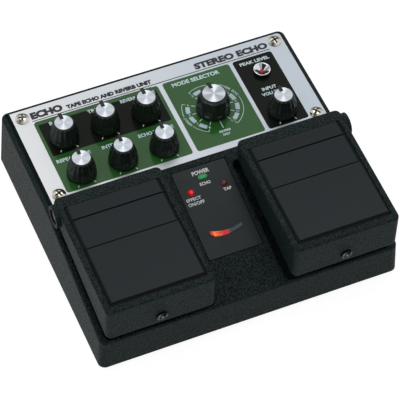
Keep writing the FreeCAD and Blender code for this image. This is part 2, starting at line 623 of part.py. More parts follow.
def control_panel():
    body = new_body("control_panel")
    sketch = outline(body, "panel_outline", "XY_Plane", box_corners(
        "-size.panel_width / 2", "size.panel_front_y", "size.panel_width / 2", "size.panel_rear_y"),
        lift=PANEL_UNDER)
    pad(body, "panel_sheet", sketch, "size.panel_thick")
    dress(body, "Fillet", "panel_corners", "2.0", upright)
    dials = [(x, y) for _, x, y in DIALS + [MODE_DIAL]]
    holes = circles(body, "dial_holes", "XY_Plane", dials, "size.bushing_radius + size.hole_slack",
                    lift="size.rear_height")
    pocket(body, "dial_holes_cut", holes, "size.panel_thick + 1")
    corners = [("%d * size.screw_x" % sign, y) for sign in (-1, 1)
               for y in ("size.screw_rear_y", "size.screw_front_y")]
    screws = circles(body, "screw_holes", "XY_Plane", corners, "size.screw_shank + 0.4",
                     lift="size.rear_height")
    pocket(body, "screw_holes_cut", screws, "size.panel_thick + 1")
    lamp = circles(body, "peak_hole", "XY_Plane", [("size.peak_x", "size.peak_y")], "size.led_radius + 1",
                   lift="size.rear_height")
    pocket(body, "peak_hole_cut", lamp, "size.panel_thick + 1")


def lamp_round(label, x, y, z, radius, low, dome, tilted=False):
    """A round lamp with a domed top, from a depth below its seat plane up to its dome."""
    body = new_body(label)
    if tilted:
        on_deck(body, x, y)
    else:
        place(body, x, y, z)
    turned(body, label + "_turned", [
        ("0", "-(%s)" % low), (radius, "-(%s)" % low), (radius, "0.4 * (%s)" % dome),
        ("0.6 * (%s)" % radius, dome), ("0", dome)])


def indicator_plate():
    body = new_body("indicator_plate")
    on_deck(body)
    sketch = outline(body, "plate_outline", "XY_Plane", plate_corners("0"), lift="-size.plate_thick")
    pad(body, "plate_sheet", sketch, "size.plate_thick")
    dress(body, "Fillet", "plate_corners", "0.8", upright)
    lamps = circles(body, "lamp_holes", "XY_Plane", [
        ("size.plate_x + %d * size.lamp_reach" % sign, "size.lamp_v") for sign in (-1, 1)],
        "size.lamp_radius + size.hole_slack")
    pocket(body, "lamp_holes_cut", lamps, "size.plate_thick + 1")
    power = outline(body, "power_hole", "XY_Plane", power_corners("size.hole_slack"))
    pocket(body, "power_hole_cut", power, "size.plate_thick + 1")
    arc = arc_sketch(body, "arc_hole", "size.hole_slack")
    pocket(body, "arc_hole_cut", arc, "size.plate_thick + 1")


def power_corners(grow):
    return centred("2.7 + (%s)" % grow, "1.3 + (%s)" % grow, "size.plate_x", "size.power_v")


def arc_sketch(body, name, grow):
    """The curved window of the level lamp: two arcs that close together toward its right end."""
    sketch = new_sketch(body, name, "XY_Plane")
    half = "(size.arc_half + (%s))" % grow
    wide = "(size.arc_wide / 2 + (%s))" % grow
    narrow = "(size.arc_narrow / 2 + (%s))" % grow
    mean = "((%s + %s) / 2)" % (wide, narrow)

    def corner(side, rise):
        return "size.plate_x + %d * %s" % (side, half), "size.arc_v + size.arc_sag + (%s)" % rise

    low_left, low_right = corner(-1, "-" + wide), corner(1, "-" + narrow)
    top_right, top_left = corner(1, narrow), corner(-1, wide)
    middles = [("size.plate_x", "size.arc_v - " + mean), ("size.plate_x", "size.arc_v + " + mean)]

    def spot(place_now):
        return FreeCAD.Vector(number(sketch, place_now[0]), number(sketch, place_now[1]), 0)

    sketch.addGeometry([
        Part.Arc(spot(low_left), spot(middles[0]), spot(low_right)),
        Part.LineSegment(spot(low_right), spot(top_right)),
        Part.Arc(spot(top_left), spot(middles[1]), spot(top_right)),
        Part.LineSegment(spot(top_left), spot(low_left))], False)
    sketch.addGeometry([Part.Point(spot(middle)) for middle in middles], True)
    for joint in ((0, 2, 1, 1), (1, 2, 2, 2), (2, 1, 3, 1), (3, 2, 0, 1)):
        sketch.addConstraint(Sketcher.Constraint("Coincident", *joint))
    for arc, dot in ((0, 4), (2, 5)):
        sketch.addConstraint(Sketcher.Constraint("PointOnObject", dot, 1, arc))
    ends = [(0, 1, low_left), (1, 1, low_right), (1, 2, top_right), (3, 1, top_left),
            (4, 1, middles[0]), (5, 1, middles[1])]
    for item, end, (u, v) in ends:
        tie(sketch, "DistanceX", (-1, 1, item, end), u, number(sketch, u))
        tie(sketch, "DistanceY", (-1, 1, item, end), v, number(sketch, v))
    return sketch


def lamps():
    lamp_round("effect_led", "size.plate_x - size.lamp_reach", "size.lamp_v", "0", "size.lamp_radius",
               "size.plate_thick + 2", "1.0", tilted=True)
    lamp_round("tap_led", "size.plate_x + size.lamp_reach", "size.lamp_v", "0", "size.lamp_radius",
               "size.plate_thick + 2", "1.0", tilted=True)
    power = new_body("power_led")
    on_deck(power)
    block = outline(power, "power_outline", "XY_Plane", power_corners("0"), lift="-size.plate_thick - 1.5")
    pad(power, "power_block", block, "size.plate_thick + 1.9")
    dress(power, "Fillet", "power_ends", "1.1", upright)
    lens = new_body("arc_lens")
    on_deck(lens)
    shape = arc_sketch(lens, "arc_outline", "0")
    pad(lens, "arc_top", shape, "0.35")
    deep = arc_sketch(lens, "arc_root", "0")
    pad(lens, "arc_block", deep, "size.plate_thick + 1.5", back=True)


def peak_lamp():
    """Chrome dish with a small lamp in it, in its hole in the control panel."""
    bezel = new_body("peak_led_bezel", "size.peak_x", "size.peak_y", "size.rear_height")
    inner = "(size.led_radius + 0.1)"
    outer = "(size.led_radius + 0.95)"
    turned(bezel, "dish", [
        (inner, "-size.panel_thick - 1.5"), (outer, "-size.panel_thick - 1.5"), (outer, "0"),
        ("size.bezel_foot", "0"), ("size.bezel_foot", "size.bezel_lip"),
        ("size.bezel_radius", "size.bezel_tall - size.bezel_lip"), ("size.bezel_radius", "size.bezel_tall"),
        ("size.bezel_radius - size.bezel_lip", "size.bezel_tall"), (inner, "size.bezel_lip")])
    lamp_round("peak_led", "size.peak_x", "size.peak_y", "size.rear_height", "size.led_radius",
               "size.panel_thick + size.pot_tall", "size.led_dome")


# ---------------------------------------------------------------- dials

def pots_and_nuts():
    """Rotary controls hung under the panel by their nuts, and the mode switch."""
    body = master("pot_body")
    block = outline(body, "pot_block", "XY_Plane", centred("size.pot_width / 2", "size.pot_deep / 2"),
                    lift="-size.pot_tall")
    pad(body, "pot_case", block, "size.pot_tall")
    control_bushing(body)
    linked("pot_bodies", body, [at(x, y, PANEL_UNDER) for _, x, y in DIALS])
    mode = new_body("mode_switch_body", MODE_DIAL[1], MODE_DIAL[2], PANEL_UNDER)
    drum = circles(mode, "drum", "XY_Plane", [("0", "0")], "size.mode_body_radius", lift="-size.pot_tall")
    pad(mode, "drum_round", drum, "size.pot_tall")
    control_bushing(mode)
    nut = master("nut")
    hexagon(nut, "size.nut_across", "size.nut_tall", "size.bushing_radius + 0.05")
    linked("pot_nuts", nut, [at(x, y, "size.rear_height") for _, x, y in DIALS + [MODE_DIAL]])


def control_bushing(body):
    """Threaded neck and the bore for the shaft, above a control's seat plane at z = 0."""
    neck = circles(body, "neck", "XY_Plane", [("0", "0")], "size.bushing_radius")
    pad(body, "neck_round", neck, "size.panel_thick + size.bushing_tall")
    bore = circles(body, "shaft_bore", "XY_Plane", [("0", "0")], "size.shaft_radius + size.pivot_slack",
                   lift="-size.pot_tall + 1")
    cut_up(body, "shaft_bore_cut", bore, "size.pot_tall + size.panel_thick + size.bushing_tall")


def hexagon(body, across, tall, bore):
    """A hexagon nut on z = 0."""
    reach = "(%s) / sqrt(3)" % across
    corners = [("%s * cos(%d)" % (reach, 60 * turn), "%s * sin(%d)" % (reach, 60 * turn))
               for turn in range(6)]
    pad(body, "hexagon", outline(body, "hexagon_outline", "XY_Plane", corners), tall)
    hole = circles(body, "thread", "XY_Plane", [("0", "0")], bore)
    cut_up(body, "thread_cut", hole, "(%s) + 1" % tall)


def fluted_ring(radius, count):
    """Corners of a ring of flutes: crest, then root, all the way round."""
    corners = []
    for index in range(2 * count):
        reach = radius if index % 2 == 0 else "(%s - size.flute_depth)" % radius
        angle = 90.0 + 180.0 * (index + 1) / count
        corners.append(("%s * cos(%.4f)" % (reach, angle), "%s * sin(%.4f)" % (reach, angle)))
    return corners


def knob_cap(label, x, y, radius, shoulder, tall, disc, flutes="flute_count"):
    """Fluted, tapering cap with a pointer rib, hollow underneath to clear its nut."""
    body = new_body(label, x, y, "size.rear_height + size.knob_lift")
    count = int(round(sheet.get(flutes)))
    skirt_tall = "(0.17 * (%s))" % tall
    pad(body, "skirt", circles(body, "skirt_circle", "XY_Plane", [("0", "0")], radius), skirt_tall)
    low_ring = outline(body, "low_flutes", "XY_Plane", fluted_ring("(%s - 0.25)" % radius, count),
                       lift=skirt_tall)
    high_ring = outline(body, "high_flutes", "XY_Plane", fluted_ring(shoulder, count),
                        lift="(%s) - 1.2" % tall)
    rim_ring = outline(body, "rim", "XY_Plane",
                       fluted_ring("(%s + size.flute_depth + 0.35)" % disc, count), lift=tall)
    loft = body.newObject("PartDesign::AdditiveLoft", "flutes")
    loft.Profile = low_ring
    loft.Sections = [high_ring, rim_ring]
    loft.Ruled = True
    rib_top = "(%s + size.disc_thick + 0.35)" % tall
    inner = "(%s - size.pointer_reach)" % disc
    rib = outline(body, "pointer", "YZ_Plane", [
        (inner, "%s - 0.6" % tall), (inner, rib_top), ("%s + size.pointer_nose" % disc, rib_top),
        ("%s + 0.3" % radius, skirt_tall), ("%s - 1" % radius, skirt_tall)])
    pad(body, "pointer_rib", rib, "size.pointer_width", both=True)
    hollow = circles(body, "hollow", "XY_Plane", [("0", "0")], "size.nut_across / 2 + 1.4")
    cut_up(body, "hollow_cut", hollow, "size.bushing_tall + 0.6")
    bore = circles(body, "bore", "XY_Plane", [("0", "0")], "size.shaft_radius + size.hole_slack / 2")
    cut_up(body, "bore_cut", bore, "(%s) - 2.5" % tall)


def knob_disc(label, x, y, tall, disc):
    """Bright metal disc that lies on the cap, notched where the pointer rib enters."""
    body = new_body(label, x, y, "size.rear_height + size.knob_lift + (%s)" % tall)
    pad(body, "disc", circles(body, "disc_circle", "XY_Plane", [("0", "0")], disc), "size.disc_thick")
    notch = outline(body, "notch", "XY_Plane", box_corners(
        "-size.pointer_width / 2 - 0.05", "%s - size.pointer_reach - 0.05" % disc,
        "size.pointer_width / 2 + 0.05", "%s + 1" % disc))
    cut_up(body, "notch_cut", notch, "size.disc_thick + 1")


def knob_shaft(label, x, y, tall):
    """Round shaft from inside the control up into the cap's bore."""
    root = "(size.panel_thick + size.pot_tall - 1.3)"
    body = new_body(label, x, y, "size.rear_height")
    circle = circles(body, "shaft_circle", "XY_Plane", [("0", "0")], "size.shaft_radius", lift="-" + root)
    pad(body, "shaft", circle, "%s + size.knob_lift + (%s) - 3" % (root, tall))


def dials():
    pots_and_nuts()
    for name, x, y in DIALS:
        knob_cap(name + "_knob", x, y, "size.knob_radius", "size.knob_shoulder", "size.knob_tall",
                 "size.disc_radius")
        knob_disc(name + "_disc", x, y, "size.knob_tall", "size.disc_radius")
        knob_shaft(name + "_shaft", x, y, "size.knob_tall")
    name, x, y = MODE_DIAL
    knob_cap(name + "_knob", x, y, "size.mode_knob_radius", "size.mode_knob_shoulder",
             "size.mode_knob_tall", "size.mode_disc_radius", "mode_flute_count")
    knob_disc(name + "_disc", x, y, "size.mode_knob_tall", "size.mode_disc_radius")
    knob_shaft(name + "_shaft", x, y, "size.mode_knob_tall")


# ---------------------------------------------------------------- pedals

def pedal(side, sign):
    """Cast pedal, open underneath, with the pad's recess and its dished pivot boss."""
    body = new_body(side + "_pedal", "%d * size.pedal_x" % sign)
    rear, front = "size.pedal_rear_y", "size.pedal_front_y"
    profile = outline(body, "side_profile", "YZ_Plane", [
        (rear, "size.pedal_rear_low"), (rear, "size.pedal_rear_top"), (front, "size.pedal_front_top"),
        (front, "size.pedal_front_low")])
    pad(body, "block", profile, "size.pedal_width", both=True)
    dress(body, "Fillet", "upright_rounds", "size.pedal_round", upright)
    low = number(body, "size.pedal_front_top") - 1
    dress(body, "Fillet", "top_rounds", "size.pedal_edge", lambda edge: edge.BoundBox.ZMin > low)
    in_rear, in_front = "(size.pedal_rear_y - size.pedal_wall)", "(size.pedal_front_y + size.pedal_wall)"
    hollow = outline(body, "hollow", "YZ_Plane", [
        (in_rear, "0"), (in_rear, pedal_ceiling(in_rear)), (in_front, pedal_ceiling(in_front)),
        (in_front, "0")])
    pocket(body, "hollow_cut", hollow, "size.pedal_width - 2 * size.pedal_wall", both=True)
    recess = outline(body, "pad_recess", "YZ_Plane", [
        ("size.recess_rear_y", "%s - size.pad_recess" % pedal_top("size.recess_rear_y")),
        ("size.recess_front_y", "%s - size.pad_recess" % pedal_top("size.recess_front_y")),
        ("size.recess_front_y", "size.pedal_rear_top + 3"),
        ("size.recess_rear_y", "size.pedal_rear_top + 3")])
    pocket(body, "pad_recess_cut", recess, "2 * size.recess_half", both=True)
    boss = circles(body, "boss", "YZ_Plane", [("size.pivot_y", "size.pivot_z")], "size.boss_radius",
                   lift="%d * (size.pedal_width / 2 - 1)" % sign)
    pad(body, "boss_round", boss, "size.boss_proud + 1", back=(sign < 0))
    dish = circles(body, "dish", "YZ_Plane", [("size.pivot_y", "size.pivot_z")], "size.dish_radius",
                   lift="%d * (size.pedal_width / 2 + size.boss_proud - size.dish_depth)" % sign)
    pocket(body, "dish_cut", dish, "size.dish_depth + 1", back=(sign > 0))
    bores = circles(body, "pivot_bores", "YZ_Plane", [("size.pivot_y", "size.pivot_z")],
                    "size.pivot_pin + size.pivot_slack")
    pocket(body, "pivot_bores_cut", bores, "size.pedal_width + 20", both=True)
    pedal_underside(body)
    screw_hole = circles(body, "screw_hole", "XZ_Plane", [("0", "size.front_screw_z")],
                         "size.front_shank + size.hole_slack / 2", lift="-size.pedal_front_y + 1")
    pocket(body, "screw_hole_cut", screw_hole, "size.pedal_wall + 2")


def pedal_underside(body):
    """Spring spigot, the post that presses the switch, and stiffening ribs."""
    spring_top = pedal_ceiling("size.spring_y")
    spigot = circles(body, "spring_spigot", "XY_Plane", [("0", "size.spring_y")], "size.spigot_radius",
                     lift="%s + 1" % spring_top)
    pad(body, "spigot_round", spigot, "size.spigot_tall + 1", back=True)
    post_top = pedal_ceiling("size.switch_y")
    post = circles(body, "switch_post", "XY_Plane", [("0", "size.switch_y")], "3.0",
                   lift="%s + 1" % post_top)
    pad(body, "switch_post_round", post,
        "%s + 1 - size.plunger_top - size.touch_gap" % post_top, back=True)
    ribs = new_sketch(body, "ribs", "YZ_Plane")
    rib_front, rib_rear = "(size.pedal_front_y + size.pedal_wall - 0.5)", "(size.spring_y - 8)"
    add_loop(ribs, [
        (rib_front, "%s + 0.5" % pedal_ceiling(rib_front)), (rib_front, "%s - 4" % pedal_ceiling(rib_front)),
        (rib_rear, "%s - 1.5" % pedal_ceiling(rib_rear)), (rib_rear, "%s + 0.5" % pedal_ceiling(rib_rear))])
    pad(body, "rib", ribs, "1.6", both=True)


def pedal_pad(side, sign):
    """Rubber pad: a thin sheet with two flat strips and a thicker bevelled block."""
    body = new_body(side + "_pedal_pad", "%d * size.pedal_x" % sign)
    rear = "(size.recess_rear_y - size.pad_gap)"
    front = "(size.recess_front_y + size.pad_gap)"

    def slab(name, back_y, front_y, low, high, half, taper_end=None):
        corners = [
            (back_y, "%s - size.pad_recess + %s" % (pedal_top(back_y), low)),
            (back_y, "%s - size.pad_recess + %s" % (pedal_top(back_y), high))]
        if taper_end:
            corners.append((taper_end, "%s - size.pad_recess + %s" % (pedal_top(taper_end), high)))
        else:
            corners.append((front_y, "%s - size.pad_recess + %s" % (pedal_top(front_y), high)))
        corners.append((front_y, "%s - size.pad_recess + %s" % (pedal_top(front_y), low)))
        pad(body, name, outline(body, name + "_profile", "YZ_Plane", corners), "2 * (%s)" % half, both=True)

    slab("sheet", rear, front, "0", "size.pad_sheet", "size.recess_half - size.pad_gap")
    raised = "size.pad_sheet + size.strip_rise"
    slab("rear_strip", rear, "(size.groove_rear_y + size.groove_width / 2)", "0.2", raised, "size.strip_half")
    slab("middle_strip", "(size.groove_rear_y - size.groove_width / 2)",
         "(size.groove_front_y + size.groove_width / 2)", "0.2", raised, "size.strip_half")
    slab("block", "(size.groove_front_y - size.groove_width / 2)", "(size.block_front_y - 0.9)", "0.2",
         "size.block_rise", "size.block_half + 0.9", taper_end="size.block_front_y")
    high = number(body, "size.block_half + 0.8")
    lift = number(body, pedal_top("size.block_front_y")) - 0.2

    def block_side(edge):
        box = edge.BoundBox
        return abs(abs(box.Center.x) - high - 0.1) < 0.02 and box.ZMin > lift and box.YLength > 20

    dress(body, "Chamfer", "block_bevel", "0.9", block_side)


def pedal_pieces():
    pin = master("pin")
    head_seat = "(size.pedal_width / 2 + size.boss_proud - size.dish_depth + size.seat_slack)"
    length = "(%s + size.pedal_width / 2 - 0.3)" % head_seat
    turned(pin, "pin_turned", [
        ("0", "-" + length), ("size.pivot_pin", "-" + length), ("size.pivot_pin", "0"),
        ("size.pin_head", "0"), ("size.pin_head", "size.pin_head_tall"), ("0", "size.pin_head_tall")])
    linked("pivot_pins", pin, [
        at("%d * (size.pedal_x + %s)" % (sign, head_seat), "size.pivot_y", "size.pivot_z",
           axis=(0, 1, 0), angle=str(90 * sign)) for _, sign in SIDES])
    for side, sign in SIDES:
        pedal(side, sign)
        pedal_pad(side, sign)
        front_screw(side, sign)
        return_spring(side, sign)
        plunger(side, sign)
    foot_switches()


def front_screw(side, sign):
    """Thumb screw through the pedal's front wall; its shank rides in the case's slotted lug."""
    body = new_body(side + "_pedal_screw", "%d * size.pedal_x" % sign, "size.pedal_front_y",
                    "size.front_screw_z")
    reach = "(size.lug_back + size.lug_thick + 0.6)"
    sketch = outline(body, "screw_profile", "YZ_Plane", [
        ("-size.front_head_tall", "0"), ("-0.9 * size.front_head_tall", "0.55 * size.front_screw_head"),
        ("-0.4 * size.front_head_tall", "size.front_screw_head"), ("0", "size.front_screw_head"),
        ("0", "size.front_shank"), (reach, "size.front_shank"), (reach, "0")])
    feature(body, "Revolution", "screw_turned", sketch, {
        "ReferenceAxis": (sketch, ["H_Axis"]), "Angle": 360.0}, {})


def return_spring(side, sign):
    """Compression spring of square wire between the well's seat and the pedal."""
    seat = "(%s + 1)" % well_floor("size.spring_y")
    ceiling = pedal_ceiling("size.spring_y")
    length = "(%s - %s - 2 * size.touch_gap)" % (ceiling, seat)
    helix = document.addObject("Part::Helix", side + "_spring_path")
    bound(helix, {
        "Height": "%s - size.spring_wire" % length, "Radius": "size.spring_radius",
        "Pitch": "(%s - size.spring_wire) / size.spring_turns" % length})
    wire = document.addObject("Part::RegularPolygon", side + "_spring_wire")
    wire.Polygon = 4
    bound(wire, {"Circumradius": "size.spring_wire / sqrt(2)", "Placement.Base.x": "size.spring_radius"})
    wire.Placement = FreeCAD.Placement(
        FreeCAD.Vector(number(wire, "size.spring_radius"), 0, 0),
        FreeCAD.Rotation(FreeCAD.Vector(1, 0, 0), 90) * FreeCAD.Rotation(FreeCAD.Vector(0, 0, 1), 45))
    coil = document.addObject("Part::Sweep", side + "_return_spring")
    coil.Sections = [wire]
    coil.Spine = (helix, ["Edge1"])
    coil.Solid = True
    coil.Frenet = True
    place(coil, "%d * size.pedal_x" % sign, "size.spring_y",
          "%s + size.touch_gap + size.spring_wire / 2" % seat)
    keep(coil, side + "_return_spring")


def foot_switches():
    """Switch bodies on their seats, each with a collar that guides its plunger."""
    body = master("foot_switch")
    block = outline(body, "block", "XY_Plane", centred("size.switch_width / 2", "size.switch_width / 2"))
    pad(body, "block_pad", block, "size.switch_tall")
    collar = circles(body, "collar", "XY_Plane", [("0", "0")], "size.collar_radius",
                     lift="size.switch_tall - 0.5")
    pad(body, "collar_round", collar, "size.collar_tall + 0.5")
    bore = circles(body, "guide", "XY_Plane", [("0", "0")], "size.plunger_radius + size.pivot_slack",
                   lift="1.2")
    cut_up(body, "guide_cut", bore, "size.switch_tall + size.collar_tall")
    linked("foot_switches", body, [
        at("%d * size.pedal_x" % sign, "size.switch_y", "size.switch_seat") for _, sign in SIDES])


def plunger(side, sign):
    """Push rod of a foot switch with a wider cap under the pedal's post."""
    body = new_body(side + "_switch_plunger", "%d * size.pedal_x" % sign, "size.switch_y",
                    "size.plunger_top")
    under_cap = "-size.cap_thick"
    bottom = "-(size.plunger_top - size.switch_seat - 4.4)"
    turned(body, "rod", [
        ("0", bottom), ("size.plunger_radius", bottom), ("size.plunger_radius", under_cap),
        ("size.plunger_radius + 0.8", under_cap), ("size.plunger_radius + 0.8", "0"), ("0", "0")])


# ---------------------------------------------------------------- boards, sockets and battery bay

def boards():
    half = "(%s - size.board_inset)" % INNER_X
    panel_board = new_body("panel_board")
    sketch = outline(panel_board, "outline", "XY_Plane", box_corners(
        "-" + half, "size.panel_front_y + 2", half, "size.jack_board_front + 11"), lift=BOARD_TOP)
    pad(panel_board, "sheet", sketch, "size.board_thick", back=True)
    jack_board = new_body("jack_board")
    sketch = outline(jack_board, "outline", "XY_Plane", box_corners(
        "-" + half, "size.jack_board_front", half, INNER_Y + " - 0.4"), lift=JACK_BOARD_TOP)
    pad(jack_board, "sheet", sketch, "size.board_thick", back=True)


def sockets():
    """Five phone jacks with their nuts, and the power inlet."""
    jack = master("jack")
    block = outline(jack, "block", "XY_Plane", box_corners(
        "-size.jack_width / 2", "-size.jack_deep", "size.jack_width / 2", "0"), lift="-size.jack_tall / 2")
    pad(jack, "block_pad", block, "size.jack_tall")
    nose = circles(jack, "nose", "XZ_Plane", [("0", "0")], "size.jack_nose")
    pad(jack, "nose_round", nose, "size.jack_reach - %s" % INNER_Y, back=True)
    bore = circles(jack, "bore", "XZ_Plane", [("0", "0")], "size.jack_bore", lift="size.jack_deep - 2")
    pocket(jack, "bore_cut", bore, "size.jack_deep + size.jack_reach - %s" % INNER_Y)
    linked("audio_jacks", jack, [at(x, INNER_Y, "size.jack_z") for x, _ in jack_places()])
    nut = master("jack_nut")
    hexagon(nut, "size.jack_nut_across", "size.jack_nut_tall", "size.jack_nose + 0.05")
    linked("jack_nuts", nut, [
        at(x, CASE_REAR, "size.jack_z", axis=(1, 0, 0), angle="-90") for x, _ in jack_places()])
    inlet = new_body("dc_inlet", "size.inlet_x", INNER_Y, "size.jack_z")
    block = outline(inlet, "block", "XY_Plane", box_corners(
        "-size.inlet_width / 2", "-size.inlet_deep", "size.inlet_width / 2", "0"), lift="-size.jack_tall / 2")
    pad(inlet, "block_pad", block, "size.inlet_tall")
    nose = circles(inlet, "nose", "XZ_Plane", [("0", "0")], "size.inlet_nose")
    pad(inlet, "nose_round", nose, "size.wall", back=True)
    bore = circles(inlet, "bore", "XZ_Plane", [("0", "0")], "size.inlet_bore", lift="8")
    pocket(inlet, "bore_cut", bore, "size.inlet_deep + size.wall")
    pin = circles(inlet, "pin", "XZ_Plane", [("0", "0")], "size.inlet_pin", lift="8.5")
    pad(inlet, "pin_round", pin, "10", back=True)


def battery_bay():
    """Box for six cells, its hinged door in the base plate's opening, and the cells."""
    box = new_body("battery_box")
    shell = outline(box, "shell", "XY_Plane", box_corners(
        "-size.box_half_x", "size.box_front_y", "size.box_half_x", "size.box_rear_y"))
    pad(box, "shell_pad", shell, "size.box_tall")
    flange = outline(box, "flange", "XY_Plane", box_corners(
        "-size.box_half_x - size.box_flange", "size.box_front_y - size.box_flange",
        "size.box_half_x + size.box_flange", "size.box_rear_y + size.box_flange"), lift="size.base_thick")
    pad(box, "flange_pad", flange, "size.box_wall")
    space = outline(box, "space", "XY_Plane", box_corners(
        "-size.box_half_x + size.box_wall", "size.box_front_y + size.box_wall",
        "size.box_half_x - size.box_wall", "size.box_rear_y - size.box_wall"))
    cut_up(box, "space_cut", space, "size.box_tall - size.box_wall")
    hinge = circles(box, "hinge_bores", "YZ_Plane", [(HINGE_Y, HINGE_Z)], "size.hinge_pin + size.hinge_slack")
    pocket(box, "hinge_bores_cut", hinge, "2 * size.box_half_x - 0.4", both=True)

    door = new_body("battery_door")
    front = "(size.box_front_y + size.box_wall + size.door_gap)"
    half = "(size.box_half_x - size.box_wall - size.door_gap)"
    leaf = outline(door, "leaf", "YZ_Plane", box_corners(
        front, "size.door_low", HINGE_Y, "size.door_low + size.door_thick"))
    pad(door, "leaf_pad", leaf, "2 * " + half, both=True)
    roll = circles(door, "roll", "YZ_Plane", [(HINGE_Y, HINGE_Z)], "size.door_thick / 2")
    pad(door, "roll_round", roll, "2 * " + half, both=True)
    pins = circles(door, "pins", "YZ_Plane", [(HINGE_Y, HINGE_Z)], "size.hinge_pin")
    pad(door, "pins_round", pins, "2 * size.box_half_x - 1.0", both=True)

    cell = master("cell")
    shoulder = "size.cell_length - 1"
    turned(cell, "cell_turned", [
        ("0", "0"), ("size.cell_radius", "0"), ("size.cell_radius", shoulder),
        ("2.7", shoulder), ("2.7", "size.cell_length"), ("0", "size.cell_length")])
    centre_y = "(size.box_front_y + size.box_rear_y) / 2"
    cell_z = "size.door_low + size.door_thick + size.door_gap + size.cell_radius"
    starts = ("size.cell_end_gap", "-size.cell_end_gap - size.cell_length")
    linked("batteries", cell, [
        at(start, "%s + %d * size.cell_pitch" % (centre_y, lane), cell_z, axis=(0, 1, 0), angle="90")
        for lane in (-1, 0, 1) for start in starts])


def check_and_write():
    """Stop on any failed object or invalid shape, then write one file for each sub-part."""
    document.recompute()
    for item in document.Objects:
        if "Invalid" in item.State or "Error" in item.State:
            raise RuntimeError("failed object: %s %s" % (item.Label, item.State))
    for item in sub_parts:
        shape = item.Shape
        if shape.isNull() or not shape.isValid() or not shape.Solids:
            raise RuntimeError("bad shape: %s" % item.Label)
    for item in sub_parts:
        item.Shape.exportStep("parts/%s.step" % item.Label)
        print("%-24s %d solid(s), %.1f mm3" % (item.Label, len(item.Shape.Solids), item.Shape.Volume))


case_shell()
base_plate()
screws_and_feet()
control_panel()
indicator_plate()
lamps()
peak_lamp()
dials()
pedal_pieces()
boards()
sockets()
battery_bay()
check_and_write()
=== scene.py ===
"""Finishes, markings, small fittings and the display stage of a twin-pedal tape echo unit.

Run as a script in Blender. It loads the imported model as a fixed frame, and each operator then
dresses one piece or one group of like pieces. Lengths are metres in the frame of the model, and
sizes written in millimetres carry the factor MM. The printing and the dial caps are drawn in
millimetres throughout, as their docstrings say.
"""
import math

import bmesh
import bpy
from mathutils import Matrix, Vector


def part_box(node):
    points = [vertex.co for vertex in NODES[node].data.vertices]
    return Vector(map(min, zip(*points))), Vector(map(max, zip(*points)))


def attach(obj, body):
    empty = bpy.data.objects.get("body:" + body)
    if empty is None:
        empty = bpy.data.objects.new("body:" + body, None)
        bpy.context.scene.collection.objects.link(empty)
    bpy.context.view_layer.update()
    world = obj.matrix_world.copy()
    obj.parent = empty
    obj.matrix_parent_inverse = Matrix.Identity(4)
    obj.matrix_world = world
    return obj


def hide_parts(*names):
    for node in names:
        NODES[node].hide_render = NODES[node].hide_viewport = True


bl_info = {
    "name": "Tape echo unit",
    "version": (1, 0, 0),
    "blender": (4, 5, 0),
    "location": "View3D > Sidebar > Echo unit",
    "description": "Dresses a twin-pedal tape echo unit with its finishes, markings and fittings",
    "category": "Object",
}

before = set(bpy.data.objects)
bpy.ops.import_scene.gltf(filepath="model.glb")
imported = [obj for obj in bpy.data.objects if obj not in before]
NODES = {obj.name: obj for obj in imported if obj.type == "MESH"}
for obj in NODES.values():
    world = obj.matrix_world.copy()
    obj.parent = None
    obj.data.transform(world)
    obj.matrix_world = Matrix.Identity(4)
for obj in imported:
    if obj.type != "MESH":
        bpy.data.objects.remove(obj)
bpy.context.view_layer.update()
MM = 0.001
PANEL_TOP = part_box("control_panel")[1].z
SMALL_DIALS = ["bass", "treble", "reverb_volume", "repeat_rate", "intensity", "echo_volume",
               "input_volume"]


def tone(red, green, blue):
    """Linear colour of three 0 to 255 display levels."""
    def linear(level):
        level /= 255
        return level / 12.92 if level <= 0.04045 else ((level + 0.055) / 1.055) ** 2.4
    return (linear(red), linear(green), linear(blue))


def shaded(colour, share, lift=0.0):
    """A colour with its levels multiplied by a share and then lifted by a little white."""
    return tuple(min(1, level * share + lift) for level in colour)


# ---- sizes and colours that a user may change


def length(name, description, default):
    return bpy.props.FloatProperty(
        name=name, description=description, default=default, min=0, unit="LENGTH", precision=5)


def colour(name, description, default):
    return bpy.props.FloatVectorProperty(
        name=name, description=description, default=default, min=0, max=1, size=3, subtype="COLOR")


class EchoSizes(bpy.types.PropertyGroup):
    """Sizes of the printing, the wrinkle paint and the dial caps."""
    ink: length("Ink thickness", "Thickness of the printed letters and lines", 0.05 * MM)
    stroke: length("Tick width", "Width of the dial ticks and ring lines", 0.42 * MM)
    grain: length("Wrinkle size", "Width of one pebble in the wrinkle paint", 1.0 * MM)
    grain_depth: length("Wrinkle depth", "Height of the pebbles in the wrinkle paint", 0.32 * MM)
    small_flute: length("Small flute depth", "Depth of the flutes of the small dial caps", 0.4 * MM)
    scallop: length("Scallop depth", "Depth of the scallops of the mode selector cap", 0.75 * MM)
    ring_low: length("Ring inner radius", "Inner radius of the selector's block ring", 12.7 * MM)
    ring_high: length("Ring outer radius", "Outer radius of the selector's block ring", 15.1 * MM)


